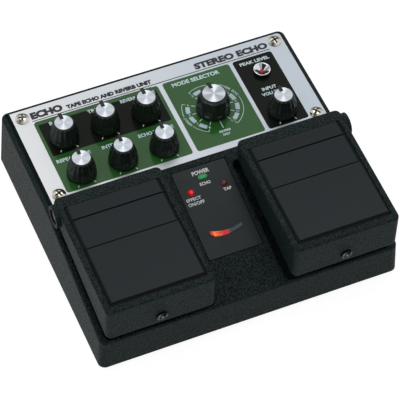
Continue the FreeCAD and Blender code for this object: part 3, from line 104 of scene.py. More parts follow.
class EchoColours(bpy.types.PropertyGroup):
    """Colours of the finishes."""
    paint: colour("Case paint", "Wrinkle paint of the case and pedals", (0.0038, 0.0088, 0.0088))
    rubber: colour("Pad rubber", "Rubber of the pedal pads", (0.0062, 0.0098, 0.0118))
    plate: colour("Indicator plate", "Smooth plate between the pedals", (0.0054, 0.0100, 0.0118))
    silver: colour("Panel silver", "Bare metal of the control panel", (0.375, 0.415, 0.455))
    green: colour("Panel green", "Green printed fields", tone(38, 89, 36))
    dark: colour("Panel black", "Black printed fields", (0.0052, 0.0072, 0.0045))
    pale_ink: colour("Pale ink", "Words and ticks on the coloured fields", tone(208, 230, 232))
    ring_ink: colour("Ring ink", "Blocks of the mode selector's ring", tone(186, 210, 218))
    dark_ink: colour("Dark ink", "Words and line on the bare metal", tone(12, 13, 14))
    plate_ink: colour("Plate ink", "Words on the indicator plate", tone(214, 220, 218))
    plastic: colour("Dial plastic", "Glossy plastic of the dial caps", (0.0100, 0.0150, 0.0124))


# ---- finishes


class Value:
    """The output of a shader node; a sum written on it adds the Math nodes that work it out."""

    def __init__(self, finish, socket):
        self.finish = finish
        self.socket = socket

    def math(self, how, *values):
        return self.finish.node("ShaderNodeMath", {"operation": how}, dict(enumerate(values)))

    def __add__(self, other):
        return self.math("ADD", self, other)

    def __sub__(self, other):
        return self.math("SUBTRACT", self, other)

    def __mul__(self, other):
        return self.math("MULTIPLY", self, other)

    def __rsub__(self, other):
        return self.math("SUBTRACT", other, self)

    def __lt__(self, other):
        return self.math("LESS_THAN", self, other)

    def __gt__(self, other):
        return self.math("GREATER_THAN", self, other)

    def __abs__(self):
        return self.math("ABSOLUTE", self)

    def __pow__(self, other):
        return self.math("POWER", self, other)

    __radd__ = __add__
    __rmul__ = __mul__

    def root(self):
        return self.math("SQRT", self)

    def most(self, other):
        return self.math("MAXIMUM", self, other)

    def cosine(self):
        return self.math("COSINE", self)


def distance(across, along):
    """How far a point is from the place where both of its coordinates are 0."""
    return (across * across + along * along).root()


def bearing(across, along):
    """Angle of a point round that place, in radians from the first axis to the second."""
    return along.math("ARCTAN2", along, across)


def wedges(angle, count, turn, sharp):
    """Soft wedges round a middle: 1 down the centre of each and 0 midway between them."""
    return ((angle * count - turn).cosine() * 0.5 + 0.5) ** sharp


class Finish:
    """One surface finish, built on a single shader of a new material or of a tree handed in."""

    def __init__(self, name, tree=None, shader="Principled BSDF", **settings):
        if tree is None:
            self.material = bpy.data.materials.new(name)
            self.material.use_nodes = True
            tree = self.material.node_tree
        self.tree = tree
        self.shader = tree.nodes[shader]
        self.set(**settings)

    def node(self, kind, settings=None, values=None, out=0):
        """Add a node: its settings first, then the numbers, colours or Values of its sockets.

        out names the output to hand back, or is None for all of them."""
        made = self.tree.nodes.new(kind)
        for name, value in (settings or {}).items():
            setattr(made, name, value)
        for name, value in (values or {}).items():
            self.feed(made.inputs[name], value)
        if out is None:
            return [Value(self, output) for output in made.outputs]
        return Value(self, made.outputs[out])

    def feed(self, socket, value):
        if isinstance(value, Value):
            self.tree.links.new(value.socket, socket)
        elif socket.type == "RGBA":
            socket.default_value = (*value[:3], 1)
        else:
            socket.default_value = value

    def set(self, **settings):
        """Set sockets of the shader; base_color stands for Base Color and so on."""
        names = {socket.name.lower().replace(" ", "_"): socket for socket in self.shader.inputs}
        for name, value in settings.items():
            self.feed(names[name], value)
        return self

    def spot(self, kind="Object"):
        """Position on the piece, in metres for Object and in shares of its box for Generated."""
        return self.node("ShaderNodeTexCoord", out=kind)

    def axes(self, spot):
        return self.node("ShaderNodeSeparateXYZ", values={0: spot}, out=None)

    def from_middle(self, *chosen):
        """Chosen coordinates (0 to 2) from the middle of the piece's box, in shares of the box."""
        axes = self.axes(self.spot("Generated"))
        return [axes[index] - 0.5 for index in chosen]

    def stretched(self, spot, *scales):
        return self.node("ShaderNodeVectorMath", {"operation": "MULTIPLY"}, {0: spot, 1: scales})

    def speckle(self, spot, scale, detail=3, rough=0.6):
        return self.node("ShaderNodeTexNoise", values={
            "Vector": spot, "Scale": scale, "Detail": detail, "Roughness": rough})

    def mix(self, share, first, second):
        return self.node("ShaderNodeMix", {"data_type": "RGBA"}, {0: share, 6: first, 7: second}, 2)

    def span(self, value, low, high, new_low=0.0, new_high=1.0):
        """The value's run from low to high, stretched over a new run and held at its ends."""
        return self.node("ShaderNodeMapRange", values={
            "Value": value, "From Min": low, "From Max": high,
            "To Min": new_low, "To Max": new_high})

    def spread(self, noise, low, high):
        """Noise, which seldom leaves the run from 0.3 to 0.7, spread over a new run."""
        return self.span(noise, 0.3, 0.7, low, high)

    def in_view(self):
        """1 for what is seen, straight, mirrored or through glass, and 0 for any other light."""
        camera, glossy, through = [self.node("ShaderNodeLightPath", out="Is %s Ray" % kind)
                                   for kind in ("Camera", "Glossy", "Transmission")]
        return camera.most(glossy).most(through)

    def bump(self, height, strength, depth):
        return self.set(normal=self.node("ShaderNodeBump", values={
            "Height": height, "Strength": strength, "Distance": depth}))


def wrinkle_paint(name, shade, grain, depth):
    """Baked wrinkle paint: small shiny pebbles, painted highlight on their crests, and dull valleys
    with painted shade.

    The pebbles are calmer on the walls, and on the rim round the panel, behind the deck."""
    finish = Finish(name, specular_ior_level=0.105)
    spot = finish.spot()
    pebbles = finish.node("ShaderNodeTexVoronoi", {"feature": "SMOOTH_F1"}, {
        "Vector": spot, "Scale": 1.25 / grain, "Smoothness": 0.6, "Randomness": 1.0})
    broken = finish.speckle(spot, 1.1 / grain)
    drift = finish.speckle(spot, 22, detail=2, rough=0.5)
    wall = finish.span(finish.axes(finish.spot("Normal"))[2], 0.9, 0.3)
    rear_rim = finish.span(finish.axes(spot)[1], 4 * MM, 8 * MM)
    height = 1 - pebbles * 0.75 + broken * 0.9
    crest = finish.span(height, 0.98, 1.26)
    average, calm = 0.45, 0.5
    crest = crest + (average - crest) * wall.most(rear_rim) * calm
    # painted highlight on the crests and painted shade in the valleys
    valley_shade_colour, crest_highlight_colour = shaded(shade, 0.05), shaded(shade, 2.75, 0.003)
    finish.set(base_color=finish.mix(crest * 0.88 + drift * 0.12, valley_shade_colour, crest_highlight_colour),
               roughness=0.70 - crest * 0.24)
    return finish.bump(height, 1.0, depth)


def moulded(name, shade, rough, gloss=0.5, grain=1600, depth=0.04 * MM):
    """Moulded plastic or rubber with a faint tool texture and uneven sheen."""
    finish = Finish(name, specular_ior_level=gloss)
    spot = finish.spot()
    fine = finish.speckle(spot, grain)
    cloud = finish.speckle(spot, 45)
    finish.set(base_color=finish.mix(cloud, shaded(shade, 0.86), shaded(shade, 1.14)),
               roughness=finish.spread(cloud, rough - 0.05, rough + 0.06))
    return finish.bump(fine, 0.35, depth)


def pad_rubber(shade):
    """Rubber of the pedal pads, with painted shade in the two grooves and down the bevelled edges.
    """
    finish = moulded("pad_rubber", shade, rough=0.52, gloss=0.13, grain=1400, depth=0.03 * MM)
    x, y, _ = finish.axes(finish.spot())
    low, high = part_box("right_pedal_pad")
    rear_groove, front_groove = -18.2 * MM, -37.8 * MM
    grooves = (abs(y - rear_groove) < 0.5 * MM).most(abs(y - front_groove) < 0.6 * MM)
    sideways = abs(abs(x) - (low.x + high.x) / 2)
    side_bevel = finish.span(sideways, 25.2 * MM, 25.7 * MM)
    front_bevel = finish.span(y, -73.1 * MM, -73.7 * MM)
    edges = side_bevel.most(front_bevel)
    # painted light: the rubber is lighter towards the front, most of all on the right pedal
    painted_front_light = finish.span(y, -12 * MM, -73 * MM) * finish.span(x, -60 * MM, 60 * MM, 0.65, 1.0)
    moulded_colour = Value(finish, finish.shader.inputs["Base Color"].links[0].from_socket)
    rubber = finish.mix(painted_front_light, moulded_colour, shaded(shade, 1, 0.0072))
    # painted shade: darker down the bevelled edges, and darker still in the two grooves
    bevel_shade = finish.mix(edges * 0.5, rubber, (0.0012, 0.0016, 0.0018))
    return finish.set(base_color=finish.mix(grooves, bevel_shade, (0.0005, 0.0007, 0.0008)),
                      roughness=finish.span(grooves.most(edges), 0, 1, 0.52, 0.9))


def worked_metal(name, shade, rough, streak=(60, 60, 60), depth=0.01 * MM):
    """Plated or rolled metal with fine working marks that run along one direction."""
    finish = Finish(name, metallic=1.0)
    spot = finish.spot()
    marks = finish.speckle(finish.stretched(spot, *streak), 14, detail=4, rough=0.65)
    cloud = finish.speckle(spot, 120)
    finish.set(base_color=finish.mix(cloud * 0.5 + marks * 0.4, shade, shaded(shade, 0.82)),
               roughness=finish.spread(cloud * 0.5 + marks * 0.5, rough - 0.06, rough + 0.1))
    return finish.bump(marks, 0.25, depth)


def field(x, y, middle_x, half_x, middle_y=37.3, half_y=26.1, corner=1.6):
    """Mask of a printed field of the panel, a rectangle with round corners, in millimetres."""
    across = abs(x - middle_x * MM) - (half_x - corner) * MM
    along = abs(y - middle_y * MM) - (half_y - corner) * MM
    return distance(across.most(0), along.most(0)) < corner * MM


def panel_metal(colours):
    """Satin silver sheet, cross-brushed very finely, with its printed fields and black edge."""
    finish = Finish("panel_silver", specular_ior_level=0.02, coat_roughness=0.12)
    spot = finish.spot()
    x, y, z = finish.axes(spot)
    brushed = finish.speckle(finish.stretched(spot, 12, 900, 12), 6, detail=4, rough=0.7)
    cloud = finish.speckle(spot, 30, detail=2, rough=0.5)
    printed = finish.speckle(spot, 260)
    silver = finish.mix(brushed * 0.7 + cloud * 0.3,
                        shaded(colours.silver, 0.93), shaded(colours.silver, 1.06))
    # painted light: the silver is painted lighter towards the left
    painted_light_left, painted_light_silver = finish.span(x, 45 * MM, -80 * MM), (0.505, 0.515, 0.525)
    silver = finish.mix(painted_light_left, silver, painted_light_silver)
    green = finish.mix(printed, shaded(colours.green, 0.9), shaded(colours.green, 1.1))
    dark = finish.mix(printed, shaded(colours.dark, 0.85), shaded(colours.dark, 1.15))
    left = field(x, y, middle_x=-33.5, half_x=36.7)
    middle = field(x, y, middle_x=26.1, half_x=20.2)
    right = field(x, y, middle_x=60.5, half_x=12.0)
    upper = field(x, y, middle_x=-33.5, half_x=34.8, middle_y=49.3, half_y=11.8, corner=0.8)
    top_face = z > PANEL_TOP - 0.1 * MM
    greens = left.most(middle) * top_face
    darks = right.most(upper) * top_face
    silver_end = -80.2 * MM
    border = x < silver_end
    surface = finish.mix(darks, finish.mix(greens, silver, green), dark)
    inked = greens.most(darks).most(border)
    finish.set(base_color=finish.mix(border, surface, colours.paint),
               metallic=finish.span(inked, 0, 1, 0.55, 0.0),
               roughness=finish.span(inked, 0, 1, 0.40, 0.46) + brushed * 0.05,
               coat_weight=greens * (1 - darks) * 0.26 + darks * 0.06)
    return finish.bump(brushed * (1 - inked) + printed * 0.3, 0.25, 0.02 * MM)


def spun_disc(name, spokes):
    """Spun aluminium: fine turning rings, with a painted bow-tie highlight and painted spokes of
    highlight in its colour.
    """
    finish = Finish(name, metallic=1.0)
    across, along = finish.from_middle(0, 1)
    angle, radius = bearing(across, along), distance(across, along)
    polar_spot = finish.node("ShaderNodeCombineXYZ", values={0: radius * 60, 1: angle * 0.35})
    rings = finish.speckle(polar_spot, 1.0, detail=4, rough=0.7)
    # painted reflection: a bow-tie and a four-pointed star of light and dark in the colour
    painted_bow_tie, painted_star = wedges(angle, 2, 2.28, 6), wedges(angle, 4, 4.4, 2)
    sheen = painted_bow_tie * 0.5 + painted_star * spokes + rings * 0.3 + (0.25 - spokes * 0.7)
    finish.set(base_color=finish.mix(sheen, (0.16, 0.175, 0.195), (0.42, 0.445, 0.475)),
               roughness=finish.spread(rings, 0.30, 0.42))
    return finish.bump((radius * 420).cosine() + rings, 0.12, 0.01 * MM)


def flared_chrome(name):
    """Bright plated dish with painted reflections: pale, grey and dark wedges painted in its
    colour.
    """
    finish = Finish(name, metallic=1.0)
    across, along = finish.from_middle(0, 1)
    angle, away = bearing(across, along), distance(across, along)
    pale, grey, painted_rim_grey = (0.68, 0.69, 0.71), (0.14, 0.145, 0.155), (0.22, 0.23, 0.25)
    # painted reflection: a dark wedge, dark patches round the foot, pale and grey wedges and a grey
    # rim
    painted_dark_wedge = finish.span(wedges(angle, 1, 0.80, 16), 0.45, 0.7) * finish.span(away, 0.46, 0.43)
    painted_left_dark, painted_right_dark = wedges(angle, 1, 3.05, 12), wedges(angle, 1, -0.75, 12)
    foot = finish.span(away, 0.38, 0.28)
    dark = painted_dark_wedge.most(painted_left_dark.most(painted_right_dark) * foot)
    shade = finish.mix(wedges(angle, 4, -0.4, 3) * 0.8, pale, grey)
    shade = finish.mix(finish.span(away, 0.43, 0.47) * 0.7, shade, painted_rim_grey)
    smudge = finish.speckle(finish.spot(), 700)
    return finish.set(base_color=finish.mix(dark, shade, (0.008, 0.008, 0.008)),
                      roughness=finish.spread(smudge, 0.05, 0.12))


def screw_nickel(name):
    """Bright plated screw head with painted reflection and painted shade in its colour."""
    finish = Finish(name, metallic=1.0)
    across, along, up = finish.from_middle(0, 1, 2)
    angle, away = bearing(across, along), distance(across, along)
    # painted reflection and painted shade: dark on the far part of the rim, in a narrow wedge on
    # the near side, and down in the cross recess
    rim = finish.span(away, 0.20, 0.34)
    far = finish.span(wedges(angle, 1, 1.14, 3), 0.1, 0.7) * rim
    near = wedges(angle, 1, 3.9, 14) * finish.span(away, 0.12, 0.25)
    recess = finish.span(up, 0.12, 0.0) * (1 - rim)
    dark = far.most(near).most(recess)
    smudge = finish.speckle(finish.spot(), 900)
    return finish.set(base_color=finish.mix(dark * 0.96, (0.58, 0.56, 0.50), (0.02, 0.02, 0.012)),
                      roughness=finish.spread(smudge, 0.10, 0.2))


def black_button(name):
    """Polished black head of a pedal's thumb screw, with a painted highlight ring and a painted
    highlight spot.
    """
    finish = Finish(name, metallic=1.0, roughness=0.2)
    across, up = finish.from_middle(0, 2)
    angle, away = bearing(across, up), distance(across, up)
    # painted highlight: a lighter ring on two sides and a small bright spot
    ring = finish.span(away, 0.28, 0.35) * finish.span(away, 0.46, 0.40)
    painted_glint = finish.span(distance(across + 0.04, up - 0.12), 0.13, 0.06)
    bright = (ring * wedges(angle, 2, -1.2, 2) * 0.7).most(painted_glint)
    smudge = finish.speckle(finish.spot(), 900)
    return finish.set(base_color=finish.mix(bright * (0.7 + smudge * 0.4),
                                            (0.006, 0.007, 0.007), (0.17, 0.19, 0.19)))


def lamp_lens(name, shade, glow, strength):
    """Tinted clear plastic over a lamp, brighter in the middle where the lamp sits."""
    finish = Finish(name, coat_weight=0.12, coat_roughness=0.08, emission_strength=strength,
                    roughness=0.25, specular_ior_level=0.15)
    heart = finish.span(distance(*finish.from_middle(0, 1)), 0.0, 0.55, 1.0, 0.25)
    cloud = finish.speckle(finish.spot(), 900, detail=2, rough=0.5)
    return finish.set(base_color=finish.mix(cloud, shaded(shade, 0.8), shade),
                      emission_color=finish.mix(heart * (0.85 + cloud * 0.3), (0, 0, 0), glow))


def level_lens():
    """Curved bar lens: its left part glows red with an orange core, its right part is unlit."""
    finish = Finish("level_bar_lens", coat_weight=0.1, coat_roughness=0.1, emission_strength=1.0,
                    roughness=0.3, specular_ior_level=0.15)
    x, y, _ = finish.axes(finish.spot())
    # the top of the bar is dark outside a round left end
    end = [corner.co for corner in NODES["arc_lens"].data.vertices if corner.co.x < -7 * MM]
    top = max(co.z for co in end) - 1.2 * MM
    end = [co for co in end if co.z > top]
    low_y, high_y = min(co.y for co in end), max(co.y for co in end)
    half = (high_y - low_y) / 2
    start = min(co.x for co in end) + half
    outside = (x < start) * (distance(x - start, y - (low_y + half)) > half)
    bar_left, bar_right = -7.4 * MM, 12.4 * MM
    share = finish.span(x, bar_left, bar_right)
    lit = finish.span(share, 0.46, 0.56, 1.0, 0.0)
    core = finish.span(share, 0.10, 0.36, 1.0, 0.0) * finish.span(share, 0.03, 0.12)
    cloud = finish.speckle(finish.spot(), 500, detail=2, rough=0.5)
    core = core * finish.span(cloud, 0.42, 0.58, 0.2, 1.0)
    glow = finish.mix(core, tone(185, 16, 18), tone(255, 128, 34))
    body = finish.mix(lit, tone(46, 60, 66), tone(60, 4, 4))
    return finish.set(base_color=finish.mix(outside, body, (0.004, 0.005, 0.006)),
                      emission_color=finish.mix(lit * (1 - outside), (0, 0, 0), glow))


def circuit_board():
    """Green solder mask over straight copper runs."""
    finish = Finish("circuit_board", roughness=0.35)
    spot = finish.spot()
    runs = finish.node("ShaderNodeTexBrick", values={
        "Vector": spot, "Scale": 160.0, "Mortar Size": 0.035, "Color1": (0, 0, 0),
        "Color2": (0, 0, 0), "Mortar": (1, 1, 1)})
    mask = finish.mix(finish.speckle(spot, 90), tone(22, 70, 40), tone(30, 88, 52))
    finish.set(base_color=finish.mix(runs, mask, tone(60, 130, 72)))
    return finish.bump(runs, 0.3, 0.05 * MM)


def cell_sleeve():
    """Plain grey foil sleeve of a dry cell, with a pale band towards one end."""
    finish = Finish("cell_sleeve", metallic=0.4)
    spot = finish.spot()
    cloud = finish.speckle(spot, 150)
    far = abs(finish.axes(spot)[0])
    band = (far > 43 * MM) * (far < 46 * MM)
    grey = finish.mix(cloud, tone(96, 104, 112), tone(112, 120, 128))
    return finish.set(base_color=finish.mix(band, grey, tone(206, 208, 210)),
                      roughness=finish.spread(cloud, 0.26, 0.38))


def ink(name, shade):
    """Screen-printed ink, very slightly uneven."""
    finish = Finish(name, specular_ior_level=0.3)
    cloud = finish.speckle(finish.spot(), 900)
    finish.set(base_color=finish.mix(cloud, shaded(shade, 0.88), shade),
               roughness=finish.spread(cloud, 0.45, 0.6))
    return finish.bump(cloud, 0.2, 0.01 * MM)


# ---- shapes


def dress(finish, *names):
    """Give model nodes a finish and smooth their curved faces."""
    for name in names:
        mesh = NODES[name].data
        mesh.materials.clear()
        mesh.materials.append(finish.material)
        mesh.shade_smooth()


def piece(name, bm, finish, body, smooth=False):
    """Turn built geometry into a named piece that moves with a body of the model."""
    mesh = bpy.data.meshes.new(name)
    bmesh.ops.recalc_face_normals(bm, faces=bm.faces)
    bm.to_mesh(mesh)
    bm.free()
    mesh.materials.append(finish.material)
    made = bpy.data.objects.new(name, mesh)
    bpy.context.scene.collection.objects.link(made)
    if smooth:
        mesh.shade_smooth()
        mesh.set_sharp_from_angle(angle=math.radians(38))
    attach(made, body)
    return made


def polar(middle, radius, degrees):
    """Point at a radius from a middle, in the direction that an angle from +X gives."""
    angle = math.radians(degrees)
    return middle[0] + radius * math.cos(angle), middle[1] + radius * math.sin(angle)


def bridge(bm, rings):
    """Join each ring of corners to the next with faces, and return them.

    A ring may be a single point, where the faces meet as triangles."""
    faces = []
    for lower, upper in zip(rings, rings[1:]):
        sides = max(len(lower), len(upper))
        for step in range(sides):
            after = (step + 1) % sides
            corners = (lower[step % len(lower)], upper[step % len(upper)],
                       upper[after % len(upper)], lower[after % len(lower)])
            faces.append(bm.faces.new(list(dict.fromkeys(corners))))
    return faces


def turned(bm, profile, sides, trim, place):
    """Sweep a profile of (radius, height, share) about the upright axis.

    trim(angle) tells how far a full share draws the radius in; the angle is counted from +Y."""
    rings = []
    for radius, height, share in profile:
        ring = []
        for step in range(sides if radius else 1):
            angle = 2 * math.pi * step / sides
            reach = radius - share * trim(angle)
            ring.append(bm.verts.new(place @ Vector(
                (-reach * math.sin(angle), reach * math.cos(angle), height))))
        rings.append(ring)
    bridge(bm, rings)


class Print:
    """Raised ink of one colour, gathered stroke by stroke on a flat face of the unit.

    Places, lengths, widths and the ink's thickness are in millimetres, and angles in degrees."""

    def __init__(self, face, thick):
        self.bm = bmesh.new()
        self.face = face @ Matrix.Scale(MM, 4)
        self.thick = thick

    def word(self, text, x, y, tall, wide, weight=0.035, turn=0.0):
        """A line of capitals with the middle of its foot at x, y, fitted to a height and width."""
        curve = bpy.data.curves.new("word", "FONT")
        curve.body = text
        curve.extrude = 0.5   # any depth, since the word is then fitted to the ink's thickness
        curve.offset = weight
        curve.resolution_u = 3
        holder = bpy.data.objects.new("word", curve)
        bpy.context.scene.collection.objects.link(holder)
        bpy.context.view_layer.update()
        mesh = bpy.data.meshes.new_from_object(holder)
        bpy.data.objects.remove(holder)
        bpy.data.curves.remove(curve)
        low = Vector([min(v.co[i] for v in mesh.vertices) for i in range(3)])
        high = Vector([max(v.co[i] for v in mesh.vertices) for i in range(3)])
        size = high - low
        fit = Matrix.Diagonal((wide / size.x, tall / size.y, self.thick / size.z, 1))
        home = Matrix.Translation((-(low.x + high.x) / 2, -low.y, -low.z))
        place = Matrix.Translation((x, y, 0)) @ Matrix.Rotation(math.radians(turn), 4, "Z")
        start = len(self.bm.verts)
        self.bm.from_mesh(mesh)
        self.bm.verts.ensure_lookup_table()
        bmesh.ops.transform(self.bm, matrix=self.face @ place @ fit @ home,
                            verts=self.bm.verts[start:])
        bpy.data.meshes.remove(mesh)

    def slab(self, corners):
        """A flat patch of ink inside an outline of corners."""
        low, high = [[self.bm.verts.new(self.face @ Vector((x, y, height))) for x, y in corners]
                     for height in (0, self.thick)]
        self.bm.faces.new(high)
        self.bm.faces.new(list(reversed(low)))
        bridge(self.bm, [low, high])

    def line(self, start, end, width):
        """A straight stroke between two points."""
        start, end = Vector(start), Vector(end)
        side = (end - start).normalized().orthogonal() * width / 2
        self.slab([start + side, start - side, end - side, end + side])

    def ray(self, middle, degrees, near, far, width):
        """A stroke that points away from a middle, from one radius to another."""
        self.line(polar(middle, near, degrees), polar(middle, far, degrees), width)

    def bow(self, middle, near, far, start, end):
        """A curved band between two radii and two angles, in steps of about 5 degrees."""
        steps = max(2, round(abs(end - start) / 5))
        angles = [start + (end - start) * step / steps for step in range(steps + 1)]
        for first, second in zip(angles, angles[1:]):
            self.slab([polar(middle, near, first), polar(middle, far, first),
                       polar(middle, far, second), polar(middle, near, second)])

    def bent_word(self, text, middle, radius, start, end, tall, wide):
        """Capitals set one by one along an arc, with their feet towards the middle."""
        for index, letter in enumerate(text):
            if letter != " ":
                degrees = start + (end - start) * index / (len(text) - 1)
                x, y = polar(middle, radius, degrees)
                self.word(letter, x, y, tall, wide, weight=0.01, turn=degrees - 90)

    def done(self, name, finish):
        return piece(name, self.bm, finish, "case")


def dial_axis(name):
    """Middle of a dial on the panel, in metres, from its shaft."""
    low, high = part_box(name + "_shaft")
    return Vector(((low.x + high.x) / 2, (low.y + high.y) / 2))


def scale_middle():
    """Middle of the mode selector's scale in millimetres, a little behind its dial's axis."""
    return dial_axis("mode_selector") / MM + Vector((0, 0.7))


def deck_face():
    """Flat frame on the indicator plate: x across, y up the slope, z out of the plate."""
    mesh = NODES["indicator_plate"].data
    faces = [face for face in mesh.polygons if face.normal.z > 0.9]
    normal = max(faces, key=lambda face: face.area).normal.normalized()
    across = Vector((1, 0, 0))
    up = normal.cross(across)
    top = max(vertex.co.dot(normal) for vertex in mesh.vertices)
    rear_end = Vector((0, 3.6 * MM, PANEL_TOP))
    origin = rear_end + normal * (top - rear_end.dot(normal))
    return Matrix.Translation(origin) @ Matrix((across, up, normal)).transposed().to_4x4()


def dial_cap(name, base, shoulder, disc, tall, flutes, depth, sharp):
    """Glossy tapering cap with a flared foot, flutes and a raised pointer rib, in millimetres.

    base, shoulder and disc are the radii of its foot, of the top of its flutes and of its disc.
    sharp is 1 for flutes of a plain wave, and more for flutes with wider lands between them."""
    x, y = dial_axis(name)
    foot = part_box(name + "_knob")[0].z
    place = Matrix.Translation((x, y, foot)) @ Matrix.Scale(MM, 4)
    bore, bore_top = 3.05, tall - 2.5
    hollow, hollow_top = 6.4, 3.2
    waist, flute_foot, flute_top = base - 0.26, 2.9, tall - 1.5
    profile = [(0, bore_top, 0), (bore, bore_top, 0), (bore, hollow_top, 0),
               (hollow, hollow_top, 0), (hollow, 0, 0), (base - 0.3, 0, 0), (base - 0.05, 0.2, 0),
               (base, 0.8, 0), (base - 0.1, 2.0, 0), (base - 0.16, 2.5, 0.35),
               (waist, flute_foot, 0.95)]
    for share in (0.1, 0.2, 0.35, 0.5, 0.65, 0.8, 0.92, 1.0):
        swell = 0.35 * math.sin(share * math.pi)
        profile.append((waist + (shoulder - 0.06 - waist) * share + swell,
                        flute_foot + (flute_top - flute_foot) * share, 1))
    profile += [(shoulder - 0.1, tall - 0.95, 0.9), (disc + 0.95, tall - 0.4, 0.6),
                (disc + 0.6, tall - 0.05, 0.1), (disc + 0.3, tall, 0), (0, tall, 0)]

    def groove(angle):
        return depth * ((1 + math.cos(flutes * angle)) / 2) ** sharp

    bm = bmesh.new()
    corners_per_flute = 8 if flutes > 12 else 18
    turned(bm, profile, flutes * corners_per_flute, groove, place)
    rib_half, rib_top, rib_start = 1.0, tall + 0.95, disc - 2.4
    rib = [(rib_start, tall - 0.6), (rib_start, rib_top), (disc + 1.65, rib_top),
           (disc + 1.7, tall - 0.8), (base + 0.2, 2.2), (base - 1.2, 2.0)]
    left, right = [[bm.verts.new(place @ Vector((half, y, z))) for y, z in rib]
                   for half in (-rib_half, rib_half)]
    shell = [bm.faces.new(left), bm.faces.new(list(reversed(right))), *bridge(bm, [left, right])]
    edges = dict.fromkeys(edge for face in shell for edge in face.edges)
    bmesh.ops.bevel(bm, geom=list(edges), offset=0.18 * MM, segments=2, profile=0.6,
                    affect="EDGES")
    return bm


def pedal_rear_edge(side):
    """Rounded rear edge of a pedal, a little past its casting and towards the panel."""
    low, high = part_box(side + "_pedal")
    # the pedal's box takes in the hub on its outer side, and the edge ends short of that
    hub, sunk = 2.42 * MM, 0.02 * MM
    left, right = (low.x + hub, high.x - sunk) if side == "left" else (low.x + sunk, high.x - hub)
    front, casting_end, back = -5.05 * MM, -2.6 * MM, -1.05 * MM
    foot, top, slope = 45.0 * MM, high.z - 0.03 * MM, 0.0427
    corner_radius, edge_radius = 3.2 * MM, 1.5 * MM
    quarter = [math.radians(degrees) for degrees in range(0, 91, 15)]

    def outline(inset):
        """Corners seen from above, from front left round the back, drawn in by an inset."""
        reach = corner_radius - inset
        bend = [(corner_radius - reach * math.cos(a), back - corner_radius + reach * math.sin(a))
                for a in quarter]
        return [(left + inset, front), *((left + x, y) for x, y in bend),
                *((right - x, y) for x, y in reversed(bend)), (right - inset, front)]

    bm = bmesh.new()
    rings = [[bm.verts.new((x, y, foot)) for x, y in outline(0)]]
    for angle in quarter:
        inset = edge_radius * (1 - math.cos(angle))
        drop = edge_radius * (1 - math.sin(angle))
        rings.append([bm.verts.new((x, y, top + slope * (y - casting_end) - drop))
                      for x, y in outline(inset)])
    bridge(bm, rings)
    bm.faces.new(rings[0])
    bm.faces.new(rings[-1])
    return bm


def cross_screw(radius, dome, rim, place):
    """Pan head with a cross recess, drawn as fine rings that sink where the driver goes."""
    bm = bmesh.new()
    steps, sides = 26, 72
    arm_reach, arm_half, depth = 0.62 * radius, 0.13 * radius, 1.15 * dome
    rings = []
    for step in range(steps + 1):
        ring = []
        for side in range(sides if step else 1):
            x, y = polar((0, 0), radius * step / steps, 360 * side / sides)
            height = rim + dome * (1 - (step / steps) ** 2.6)
            # the arms narrow and rise from the middle to their ends
            out = max(abs(x), abs(y)) / arm_reach
            if out < 1 and min(abs(x), abs(y)) < arm_half * (1.25 - 0.4 * out):
                height -= depth * (1 - 0.55 * out)
            ring.append(bm.verts.new(place @ Vector((x, y, height))))
        rings.append(ring)
    foot = [polar((0, 0), radius, 360 * side / sides) for side in range(sides)]
    rings.append([bm.verts.new(place @ Vector((x, y, 0))) for x, y in foot])
    bridge(bm, rings)
    bm.faces.new(list(reversed(rings[-1])))
    return bm


# ---- operators


class ECHO_OT_case(bpy.types.Operator):
    """Wrinkle paint on the case and both pedals, and the plated plate underneath"""
    bl_idname = "echo_unit.case"
    bl_label = "Case and pedals"

    def execute(self, context):
        sizes, colours = context.scene.echo_sizes, context.scene.echo_colours
        paint = wrinkle_paint("wrinkle_paint", colours.paint, sizes.grain, sizes.grain_depth)
        dress(paint, "case_shell", "left_pedal", "right_pedal")
        for side in ("left", "right"):
            piece(side + "_pedal_rear_edge", pedal_rear_edge(side), paint, side + "_pedal",
                  smooth=True)
        under = worked_metal("base_plate_paint", (0.10, 0.105, 0.11), rough=0.42,
                             streak=(8, 400, 8))
        dress(under, "base_plate")
        return {"FINISHED"}


class ECHO_OT_rubber(bpy.types.Operator):
    """Rubber of the pedal pads and the feet"""
    bl_idname = "echo_unit.rubber"
    bl_label = "Pads and feet"

    def execute(self, context):
        dress(pad_rubber(context.scene.echo_colours.rubber), "left_pedal_pad", "right_pedal_pad")
        foot = moulded("foot_rubber", (0.012, 0.012, 0.013), rough=0.7, gloss=0.35, grain=900,
                       depth=0.06 * MM)
        dress(foot, "rubber_feet")
        return {"FINISHED"}


class ECHO_OT_panel(bpy.types.Operator):
    """Control panel with its printed fields, and the smooth plate between the pedals"""
    bl_idname = "echo_unit.panel"
    bl_label = "Panel and plate"

    def execute(self, context):
        colours = context.scene.echo_colours
        dress(panel_metal(colours), "control_panel")
        lacquer = moulded("plate_lacquer", colours.plate, rough=0.40, gloss=0.16, grain=1800,
                          depth=0.02 * MM)
        dress(lacquer, "indicator_plate")
        return {"FINISHED"}


